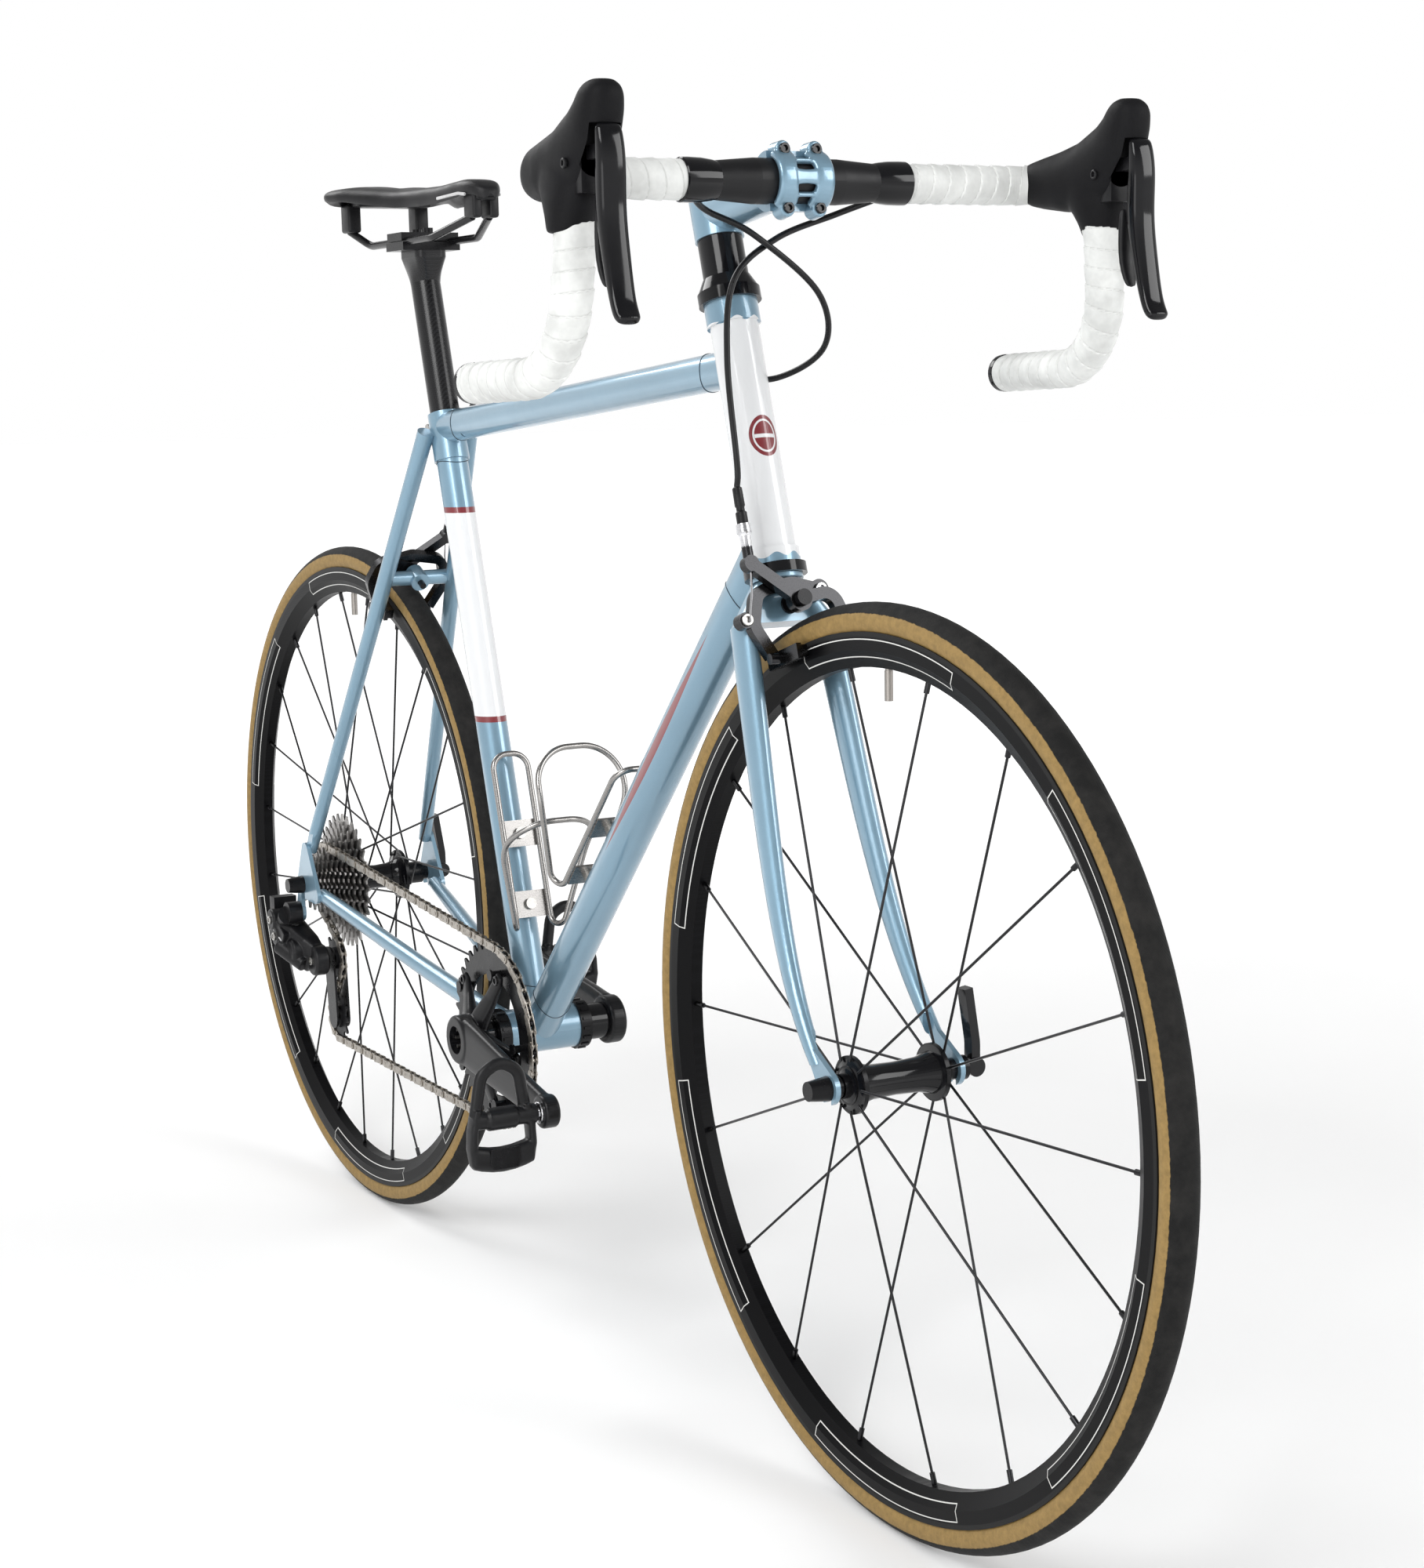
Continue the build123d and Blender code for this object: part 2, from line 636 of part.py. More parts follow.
def make_crank_right():
    with BuildPart() as crank:
        end = crank_arm(-1, -CRANK_DROP)
        rod(BB - ACROSS * 45.6, BB - ACROSS * ARM_OUTER, 19)
        with BuildSketch(side_plane(BB - ACROSS * 48.9)):
            Circle(26)
            for index in range(RING_BOLTS):
                turn = 2 * pi * index / RING_BOLTS
                with Locations((RING_BOLT_CIRCLE / 2 * cos(turn), RING_BOLT_CIRCLE / 2 * sin(turn))):
                    Rectangle(RING_BOLT_CIRCLE, 15, rotation=degrees(turn))
                with Locations((RING_BOLT_CIRCLE * cos(turn), RING_BOLT_CIRCLE * sin(turn))):
                    Circle(7.5)
            with PolarLocations(RING_BOLT_CIRCLE, RING_BOLTS):
                Circle(3.5, mode=Mode.SUBTRACT)
        extrude(amount=3, both=True)
        disc(BB, SPINDLE_RADIUS, 2 * ARM_INNER)
        pedal_axle(end, -1)
    save(crank, "crank_right")


def make_crank_left():
    with BuildPart() as crank:
        end = crank_arm(1, 180 - CRANK_DROP)
        rod(BB + ACROSS * 45.6, BB + ACROSS * ARM_OUTER, 19)
        rod(BB + ACROSS * 40, BB + ACROSS * ARM_INNER, SPINDLE_RADIUS, Mode.SUBTRACT)
        pedal_axle(end, 1)
    save(crank, "crank_left")


def make_pedal(side, name):
    turn = -CRANK_DROP if side < 0 else 180 - CRANK_DROP
    end = BB + Vector(CRANK_LENGTH * cos(radians(turn)), 0, CRANK_LENGTH * sin(radians(turn)))
    centre = end + ACROSS * (side * (ARM_OUTER + 35))
    with BuildPart() as pedal:
        with BuildSketch(Plane(origin=centre - Vector(9, 0, 0), x_dir=(0, side, 0), z_dir=(side, 0, 0))):
            with BuildLine():
                Polyline((-24, 8), (-17, 46), (17, 46), (25, 8), (31, -28), (26, -52), (-26, -52), (-31, -28), close=True)
            make_face()
            fillet(vertices(), 7)
            with Locations((0, 26)):
                RectangleRounded(26, 18, 5, mode=Mode.SUBTRACT)
        extrude(amount=side * 15)
        rod(end + ACROSS * (side * (ARM_OUTER + 3.5)), end + ACROSS * (side * (ARM_OUTER + 50)), 10)
        rod(end + ACROSS * (side * ARM_OUTER), end + ACROSS * (side * (ARM_OUTER + 47)), PEDAL_AXLE + RUN_GAP, Mode.SUBTRACT)
    save(pedal, name)


# ---- chain ----
def tangent_touch(first, r1, second, r2, side1, side2):
    """Touch points of the line that runs from one circle to the next."""
    dx = second[0] - first[0]
    dz = second[1] - first[1]
    distance = hypot(dx, dz)
    base = atan2(dz, dx)
    swing = acos((side1 * r1 - side2 * r2) / distance)
    angle = base + swing
    nx = cos(angle)
    nz = sin(angle)
    return (
        (first[0] + side1 * r1 * nx, first[1] + side1 * r1 * nz),
        (second[0] + side2 * r2 * nx, second[1] + side2 * r2 * nz),
    )


def chain_wheels():
    return (
        ((BB.X, BB.Z), pitch_radius(RING_TEETH), 1),
        ((REAR_AXLE.X, REAR_AXLE.Z), pitch_radius(COG_TEETH[CHAIN_COG]), 1),
        ((GUIDE_PULLEY.X, GUIDE_PULLEY.Z), pitch_radius(PULLEY_TEETH), -1),
        ((TENSION_PULLEY.X, TENSION_PULLEY.Z), pitch_radius(PULLEY_TEETH), 1),
    )


def arc_middle(centre, radius, start, end, turning):
    a = atan2(start[1] - centre[1], start[0] - centre[0])
    b = atan2(end[1] - centre[1], end[0] - centre[0])
    sweep_angle = (b - a) * turning % (2 * pi)
    middle = a + turning * sweep_angle / 2
    return (centre[0] + radius * cos(middle), centre[1] + radius * sin(middle))


def chain_loop():
    """Closed line at the pitch height of the chain; it runs rearward along the top."""
    wheels = chain_wheels()
    runs = []
    for index, (centre, radius, hand) in enumerate(wheels):
        following = wheels[(index + 1) % len(wheels)]
        runs.append(tangent_touch(centre, radius, following[0], following[1], -hand, -following[2]))
    for index, (start, end) in enumerate(runs):
        centre, radius, hand = wheels[(index + 1) % len(wheels)]
        following = runs[(index + 1) % len(runs)][0]
        Line(start, end)
        ThreePointArc(end, arc_middle(centre, radius, end, following, hand), following)


def make_chain():
    height = 8.0
    inner = 1.15
    plate = 1.3
    with BuildPart() as chain:
        for side in (-1, 1):
            across = -CHAIN_LINE + side * (inner + plate / 2)
            with BuildSketch(side_plane(Vector(0, across, 0))):
                with BuildLine():
                    chain_loop()
                trace(line_width=height)
            extrude(amount=plate / 2, both=True)
    save(chain, "chain")


# ---- rear derailleur ----
def make_derailleur_mount():
    bolt = Vector(HANGER.X - 4, -REAR_OLD / 2 - DROPOUT_THICKNESS, HANGER.Z)
    with BuildPart() as mount:
        rod(bolt + ACROSS * DROPOUT_THICKNESS, bolt - ACROSS * 12, 4.9)
        rod(bolt - ACROSS * 0.3, bolt - ACROSS * 14, 11)
        taper(bolt + Vector(0, -12.5, -2), bolt + Vector(-26, -10, -16), 10, 7)
        box(Vector(-52, -72, 300), (13, 24, 34))
    save(mount, "derailleur_mount")


def make_derailleur_body():
    with BuildPart() as links:
        for across, lift in ((-82, 4), (-66, -6)):
            start = Vector(-38, across, 283 + lift)
            end = Vector(2, across + 6, 270 + lift)
            with BuildSketch(Plane(origin=(start + end) / 2, x_dir=end - start, z_dir=(0, 0, 1))):
                SlotOverall((end - start).length + 12, 8)
            extrude(amount=6, both=True)
        disc(GUIDE_PULLEY + Vector(0, -18, 0), 14, 18)
        taper(GUIDE_PULLEY + Vector(-2, -22, 4), GUIDE_PULLEY + Vector(-12, -34, 14), 12, 9)
        bolt = Vector(HANGER.X - 4, -REAR_OLD / 2 - DROPOUT_THICKNESS, HANGER.Z)
        taper(bolt + Vector(0, -12.5, -2), bolt + Vector(-26, -10, -16), 10.3, 7.3, Mode.SUBTRACT)
        disc(bolt - ACROSS * 7, 11.3, 16, Mode.SUBTRACT)
    save(links, "derailleur_body")


def make_derailleur_cage():
    with BuildPart() as cage:
        for side in (-1, 1):
            across = -CHAIN_LINE + side * (CAGE_GAP + 1)
            with BuildSketch(side_plane(Vector(0, across, 0))):
                with Locations((GUIDE_PULLEY.X, GUIDE_PULLEY.Z)):
                    Circle(12)
                with Locations((TENSION_PULLEY.X, TENSION_PULLEY.Z)):
                    Circle(11)
                make_hull()
            extrude(amount=1, both=True)
        for centre in (GUIDE_PULLEY, TENSION_PULLEY):
            disc(centre, 3, 2 * CAGE_GAP + 4)
    save(cage, "derailleur_cage")


def make_pulley(centre, name):
    with BuildPart() as pulley:
        with BuildSketch(side_plane(centre)):
            with BuildLine():
                toothed_outline(PULLEY_TEETH, 2.0)
            make_face()
        extrude(amount=0.9, both=True)
        disc(centre, 11, 6)
        disc(centre, 3 + RUN_GAP, 10, Mode.SUBTRACT)
    save(pulley, name)


# ---- fork ----
FRONT_TIP = FRONT_OLD / 2 + DROPOUT_THICKNESS / 2


def make_crown():
    brake = steer(FORK_BRAKE)
    with BuildPart() as crown:
        rod(steer(CROWN_RACE - 3), steer(SPACER_TOP + 38), STEERER_RADIUS)
        with BuildSketch(Plane(origin=steer(FORK_BRAKE - 12), x_dir=AHEAD, z_dir=AXIS)):
            RectangleRounded(22, 2 * BLADE_SPREAD + 16, 8)
        with BuildSketch(Plane(origin=steer(CROWN_RACE - 4), x_dir=AHEAD, z_dir=AXIS)):
            RectangleRounded(22, 40, 8)
        loft()
        rod(steer(CROWN_RACE - 3), steer(CROWN_RACE), 20)
        rod(brake - AHEAD * 30, brake + AHEAD * 30, BRAKE_BOLT_RADIUS, Mode.SUBTRACT)
        rod(steer(CROWN_RACE + 6), steer(SPACER_TOP + 60), STEERER_RADIUS - 2, Mode.SUBTRACT)
    save(crown, "fork_crown")


def blade_section(along, ahead, side, length, width):
    with BuildSketch(Plane(origin=steer(along, ahead, side), x_dir=AHEAD, z_dir=AXIS)) as face:
        Ellipse(length / 2, width / 2)
    return face.sketch


def make_blades():
    stations = (
        (FORK_BRAKE - 12.1, 0, BLADE_SPREAD, 26, 18),
        (240, 0, 39.5, 24, 17),
        (140, 3, 45, 19, 15),
        (70, 14, 49, 15, 13),
        (18, 33, FRONT_TIP - 0.5, 12.5, 11),
    )
    slot = AXLE_RADIUS + RUN_GAP
    with BuildPart() as blades:
        for side in (-1, 1):
            sections = []
            for along, ahead, across, length, width in stations:
                sections.append(blade_section(along, ahead, across * side, length, width))
            loft(sections)
        for side in (-1, 1):
            box(FRONT_AXLE + Vector(0, side * (FRONT_OLD / 2 - 10), 6), (60, 20, 60), Mode.SUBTRACT)
            with BuildSketch(side_plane(Vector(0, side * FRONT_TIP, 0))):
                with Locations((WHEELBASE, WHEEL_RADIUS)):
                    Circle(12)
                with Locations((steer(24, 31).X, steer(24, 31).Z)):
                    Circle(5.5)
                make_hull()
            extrude(amount=DROPOUT_THICKNESS / 2, both=True)
        disc(FRONT_AXLE, slot, 2 * REAR_OLD, Mode.SUBTRACT)
        box(FRONT_AXLE - Vector(0, 0, 10), (2 * slot, 2 * REAR_OLD, 20), Mode.SUBTRACT)
    save(blades, "fork_blades")


# ---- cockpit ----
STEM_AHEAD = BAR_CENTRE - steer((SPACER_TOP + STEM_HIGH) / 2)
STEM_DIR = STEM_AHEAD.normalized()


def make_spacers():
    with BuildPart() as spacers:
        taper(steer(CUP_TOP + 0.2), steer(CUP_TOP + 10), 23, 18)
        rod(steer(CUP_TOP + 10), steer(SPACER_TOP), 17)
        rod(steer(CUP_TOP), steer(SPACER_TOP), STEERER_RADIUS, Mode.SUBTRACT)
        rod(steer(STEM_HIGH), steer(STEM_HIGH + 4), 18)
        rod(steer(STEM_HIGH + 3.9), steer(STEM_HIGH + 6), 5)
    save(spacers, "headset_spacers")


def make_stem():
    middle = steer((SPACER_TOP + STEM_HIGH) / 2)
    with BuildPart() as stem:
        rod(steer(SPACER_TOP), steer(STEM_HIGH), 18.5)
        taper(middle, BAR_CENTRE - STEM_DIR * 10, 16.5, 15)
        disc(BAR_CENTRE, 21, 44)
        face = BAR_CENTRE + STEM_DIR * 2
        with BuildSketch(Plane(origin=face, x_dir=ACROSS, z_dir=STEM_DIR)):
            Rectangle(80, 80)
        extrude(amount=60, mode=Mode.SUBTRACT)
        disc(BAR_CENTRE, BAR_CLAMP_RADIUS, 60, Mode.SUBTRACT)
        rod(steer(SPACER_TOP - 5), steer(STEM_HIGH + 5), STEERER_RADIUS, Mode.SUBTRACT)
    save(stem, "stem")


def make_faceplate():
    face = BAR_CENTRE + STEM_DIR * 3.5
    plane = Plane(origin=face, x_dir=ACROSS, z_dir=STEM_DIR)
    with BuildPart() as plate:
        disc(BAR_CENTRE, 20.5, 44)
        with BuildSketch(plane):
            for across in (-13, 13):
                for up in (-20, 20):
                    with Locations((across, up)):
                        Circle(6)
        extrude(amount=9)
        with BuildSketch(plane):
            Rectangle(80, 80)
        extrude(amount=-60, mode=Mode.SUBTRACT)
        disc(BAR_CENTRE, BAR_CLAMP_RADIUS, 60, Mode.SUBTRACT)
        for across in (-13, 13):
            for up in (-20, 20):
                place = plane.from_local_coords(Vector(across, up, 0))
                rod(place - STEM_DIR, place + STEM_DIR * 12, 2.6, Mode.SUBTRACT)
                rod(place + STEM_DIR * 0.2, place + STEM_DIR * 9.2, 2.5)
                rod(place + STEM_DIR * 9.1, place + STEM_DIR * 13, 4.2)
    save(plate, "stem_faceplate")


def bar_route(side):
    return (
        (BAR_CENTRE.X, 84 * side, BAR_CENTRE.Z),
        (BAR_CENTRE.X, (BAR_HALF - 3) * side, BAR_CENTRE.Z),
        (962, BAR_HALF * side, 958),
        (956, 217 * side, 829),
        (819.5, 223.6 * side, 826),
    )


def make_handlebar():
    flat = 34.0
    with BuildPart() as bar:
        disc(BAR_CENTRE, BAR_CLAMP_RADIUS, 2 * flat)
        for side in (-1, 1):
            inner = BAR_CENTRE + ACROSS * (side * flat)
            taper(inner, BAR_CENTRE + ACROSS * (side * 84), BAR_CLAMP_RADIUS, BAR_RADIUS)
            sweep_round(bar_route(side), BAR_RADII, BAR_RADIUS)
            end = Vector(*bar_route(side)[4])
            away = (end - Vector(*bar_route(side)[3])).normalized()
            rod(end + away * 0.1, end + away * 4, TAPE_RADIUS)
            rod(end, end + away, BAR_RADIUS - 2)
    save(bar, "handlebar")


def make_tape():
    with BuildPart() as tape:
        for side in (-1, 1):
            sweep_round(bar_route(side), BAR_RADII, TAPE_RADIUS)
            sweep_round(bar_route(side), BAR_RADII, BAR_RADIUS + REST_GAP, Mode.SUBTRACT)
            top = (HOOD_LOW + 1010) / 2
            box(Vector((HOOD_BACK + 1010) / 2, side * BAR_HALF, top), (1010 - HOOD_BACK, 60, 1010 - HOOD_LOW), Mode.SUBTRACT)
            box(Vector(BAR_CENTRE.X, side * 80, BAR_CENTRE.Z), (40, 16, 40), Mode.SUBTRACT)
    save(tape, "bar_tape")


LEVER_PIVOT = Vector(975, BAR_HALF, 971)


def make_hoods():
    sections = (
        (HOOD_BACK + 0.2, 203, 962, 15.5, 16),
        (938, 207, 964, 16, 20),
        (972, 207, 972, 16, 23),
        (995, 206, 992, 13.5, 18),
        (1004, 205, 1002, 8, 10),
    )
    with BuildPart() as hoods:
        for side in (-1, 1):
            for x, across, z, wide, high in sections:
                with BuildSketch(Plane(origin=(x, across * side, z), x_dir=(0, 1, 0), z_dir=(1, 0, 0))):
                    Ellipse(wide, high)
            loft()
            sweep_round(bar_route(side), BAR_RADII, BAR_RADIUS + REST_GAP, Mode.SUBTRACT)
            box(Vector(990, side * BAR_HALF, 960), (50, 2 * SLOT_HALF, 46), Mode.SUBTRACT)
            box(Vector(956, side * 214, 925), (60, 60, 2 * (HOOD_LOW - 925) + 6), Mode.SUBTRACT)
            disc(Vector(LEVER_PIVOT.X, side * BAR_HALF, LEVER_PIVOT.Z), 2, 2 * SLOT_HALF)
    save(hoods, "lever_hoods")


def make_lever(side, name):
    across = side * BAR_HALF
    hinge = paddle_hinge(side)
    with BuildPart() as lever:
        with BuildSketch(side_plane(Vector(0, across, 0))):
            with BuildLine():
                FilletPolyline((LEVER_PIVOT.X, LEVER_PIVOT.Z), (1004, 966), (1009, 915), (1023, 863), radius=(16, 60))
            trace(line_width=7)
            with Locations((LEVER_PIVOT.X, LEVER_PIVOT.Z)):
                Circle(5.5)
        extrude(amount=6.5, both=True)
        disc(Vector(LEVER_PIVOT.X, across, LEVER_PIVOT.Z), 2 + RUN_GAP, 20, Mode.SUBTRACT)
        rod(hinge - Vector(0, 0, 9.5), hinge + Vector(0, 0, 9.5), 1.5)
        for lift in (-8.3, 8.3):
            rod(hinge + Vector(-2, 0, lift), hinge + Vector(17, -2 * side, lift), 1.9)
    save(lever, name)


def paddle_hinge(side):
    return Vector(990, side * (BAR_HALF + 6), 927)


def make_paddle(side, name):
    hinge = paddle_hinge(side)
    with BuildPart() as paddle:
        rod(hinge - Vector(0, 0, 6), hinge + Vector(0, 0, 6), 3.2)
        box(hinge - Vector(0, side * 3.5, 0), (3, 5, 10))
        with BuildSketch(side_plane(hinge - Vector(0, side * 10, 0))):
            with BuildLine():
                Polyline((-1.5, 9), (1.5, 9), (3, -26), (9, -44), (6, -44), (0, -26), close=True)
            make_face()
        extrude(amount=5.6, both=True)
        rod(hinge - Vector(0, 0, 12), hinge + Vector(0, 0, 12), 1.5 + RUN_GAP, Mode.SUBTRACT)
    save(paddle, name)


# ---- brakes ----


def front_brake_plane():
    return Plane(origin=steer(FORK_BRAKE), x_dir=ACROSS, z_dir=AHEAD)


def rear_brake_plane():
    away = BRIDGE_OUT.cross(ACROSS)
    return Plane(origin=BRIDGE, x_dir=ACROSS * -1, z_dir=away)


def brake_arm(plane, height, reach, route, side):
    """Curved arm with its shoe holder and pad, side +1 or -1 in the brake's own view."""
    with BuildSketch(plane.offset(height)) as arm:
        with BuildLine():
            FilletPolyline(*route, (side * 25, -reach + 3), radius=12)
        trace(line_width=9)
    extrude(arm.sketch, amount=8)
    with BuildSketch(plane.offset(30 - PAD_LENGTH / 2)) as holder:
        with Locations((side * 21.5, -reach)):
            Rectangle(4, 11)
    extrude(holder.sketch, amount=PAD_LENGTH)
    with BuildSketch(plane.offset(32 - PAD_LENGTH / 2)) as pad:
        with Locations((side * 16.6, -reach)):
            Rectangle(5.8, 9)
    extrude(pad.sketch, amount=PAD_LENGTH - 4)
    shoe = plane.from_local_coords(Vector(side * 20, -reach, 26))
    rod(shoe, shoe + plane.x_dir * (side * 12), 4)


def make_centre_arm(plane, reach, name):
    bore = plane.from_local_coords(Vector(0, 0, 20))
    stop = plane.from_local_coords(Vector(-36, 28, 27))
    with BuildPart() as arm:
        brake_arm(plane, 23, reach, ((0, 0), (27, 5), (35, -18)), 1)
        with BuildSketch(plane.offset(23)):
            with BuildLine():
                Polyline((0, 0), (-36, 28))
            trace(line_width=9)
            Circle(9)
            with Locations((-36, 28)):
                Circle(6)
        extrude(amount=8)
        rod(stop, stop + plane.y_dir * 30, 4)
        rod(stop - plane.y_dir * 10, stop + plane.y_dir * 32, 1.5, Mode.SUBTRACT)
        rod(bore, bore + plane.z_dir * 20, BRAKE_BOLT_RADIUS + RUN_GAP, Mode.SUBTRACT)
    save(arm, name)


def make_offset_arm(plane, reach, name):
    pivot = plane.from_local_coords(Vector(*ARM_B_PIVOT, 10))
    anchor = plane.from_local_coords(Vector(-44, -12, 14))
    with BuildPart() as arm:
        brake_arm(plane, 14, reach, (ARM_B_PIVOT, (0, 14), (-30, 9), (-37, -16)), -1)
        with BuildSketch(plane.offset(14)):
            with Locations(ARM_B_PIVOT):
                Circle(7.5)
        extrude(amount=8)
        rod(anchor, anchor + plane.z_dir * 10, 6)
        rod(pivot, pivot + plane.z_dir * 14, BRAKE_BOLT_RADIUS + RUN_GAP, Mode.SUBTRACT)
    save(arm, name)


def make_brake_bolt(plane, name):
    with BuildPart() as bolt:
        back = plane.origin - plane.z_dir * 16
        rod(back, plane.origin + plane.z_dir * 34, BRAKE_BOLT_RADIUS - 0.01)
        rod(plane.origin + plane.z_dir * 31.2, plane.origin + plane.z_dir * 36, 6)
        with BuildSketch(plane.offset(12)):
            Circle(7)
            with Locations(ARM_B_PIVOT):
                Circle(7)
            make_hull()
        extrude(amount=1.9)
        pin = plane.from_local_coords(Vector(*ARM_B_PIVOT, 12))
        rod(pin, pin + plane.z_dir * 10.8, BRAKE_BOLT_RADIUS)
    save(bolt, name)


# ---- brake cables ----
def inner_wire(plane):
    """Bare wire from the barrel to its anchor on the other arm."""
    top = plane.from_local_coords(Vector(-36, 62, 27))
    low = plane.from_local_coords(Vector(-36, 21, 27))
    anchor = plane.from_local_coords(Vector(-43, -13, 25.2))
    rod(low, top, WIRE_INNER)
    rod(anchor, low, WIRE_INNER)


def make_front_cable():
    plane = front_brake_plane()
    stop = plane.from_local_coords(CABLE_STOP)
    points = (
        (870, 76, 951), (852, 52, 941), (845, 6, 924), (846, -30, 895),
        (850, -39, 840), (858, -37, 765), tuple(stop),
    )
    with BuildPart() as cable:
        sweep_round(points, (12, 40, 30, 40, 60), CABLE_RADIUS)
        inner_wire(plane)
    save(cable, "front_brake_cable")


def make_rear_loop():
    points = (
        (870, -76, 951), (856, -56, 942), (852, -16, 926), (846, 40, 886),
        (824, 58, 848), (786, 40, 826), (748, 9, 826),
    )
    with BuildPart() as cable:
        sweep_round(points, (12, 30, 30, 22, 22), CABLE_RADIUS)
    save(cable, "rear_brake_cable_front")


def make_rear_cable():
    plane = rear_brake_plane()
    stop = plane.from_local_coords(CABLE_STOP)
    points = (
        (290, 6, 801), (272, 20, 818), (232, 33, 806),
        tuple(stop + plane.y_dir * 22), tuple(stop),
    )
    with BuildPart() as cable:
        sweep_round(points, (18, 30, 40), CABLE_RADIUS)
        inner_wire(plane)
    save(cable, "rear_brake_cable_back")


def build_frame():
    make_head_tube()
    make_top_tube()
    make_down_tube()
    make_seat_tube()
    make_chain_stays()
    make_seat_stays()
    make_headset()
    make_bottom_cups()
    make_seatpost()
    make_saddle_clamp()
    make_saddle_rails()
    make_saddle()
    make_cage("seat_tube_cage", BB + SEAT_OUT * (SEAT_TUBE_DIAMETER / 2), SEAT_DIR, SEAT_OUT, SEAT_BOLTS)
    make_cage("down_tube_cage", BB + DOWN_OUT * (DOWN_TUBE_DIAMETER / 2), DOWN_DIR, DOWN_OUT, DOWN_BOLTS)
    make_frame_bolts()


def build_wheels():
    for centre, place, old, flanges, ends, body in (
        (FRONT_AXLE, "front", FRONT_OLD, FRONT_FLANGES, (-44, 44), 9),
        (REAR_AXLE, "rear", REAR_OLD, REAR_FLANGES, (-20, 59), 11),
    ):
        make_tyre(centre, f"{place}_tyre")
        make_rim(centre, f"{place}_rim")
        make_hub(centre, flanges, ends, body, f"{place}_hub")
        axle_set(centre, old, f"{place}_axle")
    make_spokes(FRONT_AXLE, FRONT_FLANGES, FRONT_SPOKES, 0, "front_spokes")
    make_spokes(REAR_AXLE, REAR_FLANGES, REAR_SPOKES, 58, "rear_spokes")
    make_skewer_lever(FRONT_AXLE, FRONT_OLD, "front_skewer_lever", Vector(1, 0, 0), 1)
    make_skewer_lever(REAR_AXLE, REAR_OLD, "rear_skewer_lever", Vector(1, 0, 0), 1)


def build_drive():
    make_cassette()
    make_chainring()
    make_crank_right()
    make_crank_left()
    make_pedal(-1, "pedal_right")
    make_pedal(1, "pedal_left")
    make_chain()
    make_derailleur_mount()
    make_derailleur_body()
    make_derailleur_cage()
    make_pulley(GUIDE_PULLEY, "guide_pulley")
    make_pulley(TENSION_PULLEY, "tension_pulley")


def build_steering():
    make_crown()
    make_blades()
    make_spacers()
    make_stem()
    make_faceplate()
    make_handlebar()
    make_tape()
    make_hoods()
    make_lever(-1, "lever_right")
    make_lever(1, "lever_left")
    make_paddle(-1, "paddle_right")
    make_paddle(1, "paddle_left")


def build_brakes():
    for place, plane, reach in (
        ("front", front_brake_plane(), FRONT_REACH),
        ("rear", rear_brake_plane(), REAR_REACH),
    ):
        make_centre_arm(plane, reach, f"{place}_brake_centre_arm")
        make_offset_arm(plane, reach, f"{place}_brake_offset_arm")
        make_brake_bolt(plane, f"{place}_brake_bolt")
    make_front_cable()
    make_rear_loop()
    make_rear_cable()


build_frame()
build_wheels()
build_drive()
build_steering()
build_brakes()
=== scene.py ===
import math
import random
import bmesh
import bpy
from mathutils import Matrix, Quaternion, Vector


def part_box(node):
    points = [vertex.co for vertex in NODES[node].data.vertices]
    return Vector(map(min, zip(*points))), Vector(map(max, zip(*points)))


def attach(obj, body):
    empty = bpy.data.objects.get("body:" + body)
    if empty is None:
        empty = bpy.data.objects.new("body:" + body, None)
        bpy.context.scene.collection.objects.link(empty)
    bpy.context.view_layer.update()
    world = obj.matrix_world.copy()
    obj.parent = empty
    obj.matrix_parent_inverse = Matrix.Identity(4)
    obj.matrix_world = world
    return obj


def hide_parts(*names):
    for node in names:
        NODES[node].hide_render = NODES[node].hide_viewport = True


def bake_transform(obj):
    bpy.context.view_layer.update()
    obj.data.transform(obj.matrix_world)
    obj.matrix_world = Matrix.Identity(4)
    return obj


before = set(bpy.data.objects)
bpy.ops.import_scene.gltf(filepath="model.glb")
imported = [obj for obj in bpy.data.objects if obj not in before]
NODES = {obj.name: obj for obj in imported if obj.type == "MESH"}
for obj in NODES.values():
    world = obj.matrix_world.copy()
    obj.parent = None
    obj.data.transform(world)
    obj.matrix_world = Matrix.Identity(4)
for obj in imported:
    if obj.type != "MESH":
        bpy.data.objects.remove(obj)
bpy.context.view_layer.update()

MM = 0.001
random.seed(7)


def mm(x, y, z):
    return Vector((x, y, z)) * MM


# ---------------------------------------------------------------- camera
CAMERA_AT = (2604.76, -1014.44, 816.72)
CAMERA_YAW = math.radians(151.647)
CAMERA_PITCH = math.radians(-10.204)
CAMERA_ROLL = -0.022
SENSOR_WIDTH = 36.0
LENS = 63.25974
SHIFT_X, SHIFT_Y = 0.005245, 0.066255


def make_camera():
    yaw, pitch, roll = CAMERA_YAW, CAMERA_PITCH, CAMERA_ROLL
    forward = Vector((math.cos(yaw) * math.cos(pitch), math.sin(yaw) * math.cos(pitch), math.sin(pitch)))
    right = forward.cross(Vector((0, 0, 1))).normalized()
    up = right.cross(forward)
    turned_right = math.cos(roll) * right + math.sin(roll) * up
    turned_up = -math.sin(roll) * right + math.cos(roll) * up
    data = bpy.data.cameras.new("camera")
    camera = bpy.data.objects.new("camera", data)
    bpy.context.scene.collection.objects.link(camera)
    rotation = Matrix((turned_right, turned_up, -forward)).transposed()
    camera.matrix_world = Matrix.Translation(mm(*CAMERA_AT)) @ rotation.to_4x4()
    data.sensor_width = SENSOR_WIDTH
    data.lens = LENS
    data.shift_x = SHIFT_X
    data.shift_y = SHIFT_Y
    data.clip_start, data.clip_end = 0.05, 60
    bpy.context.scene.camera = camera


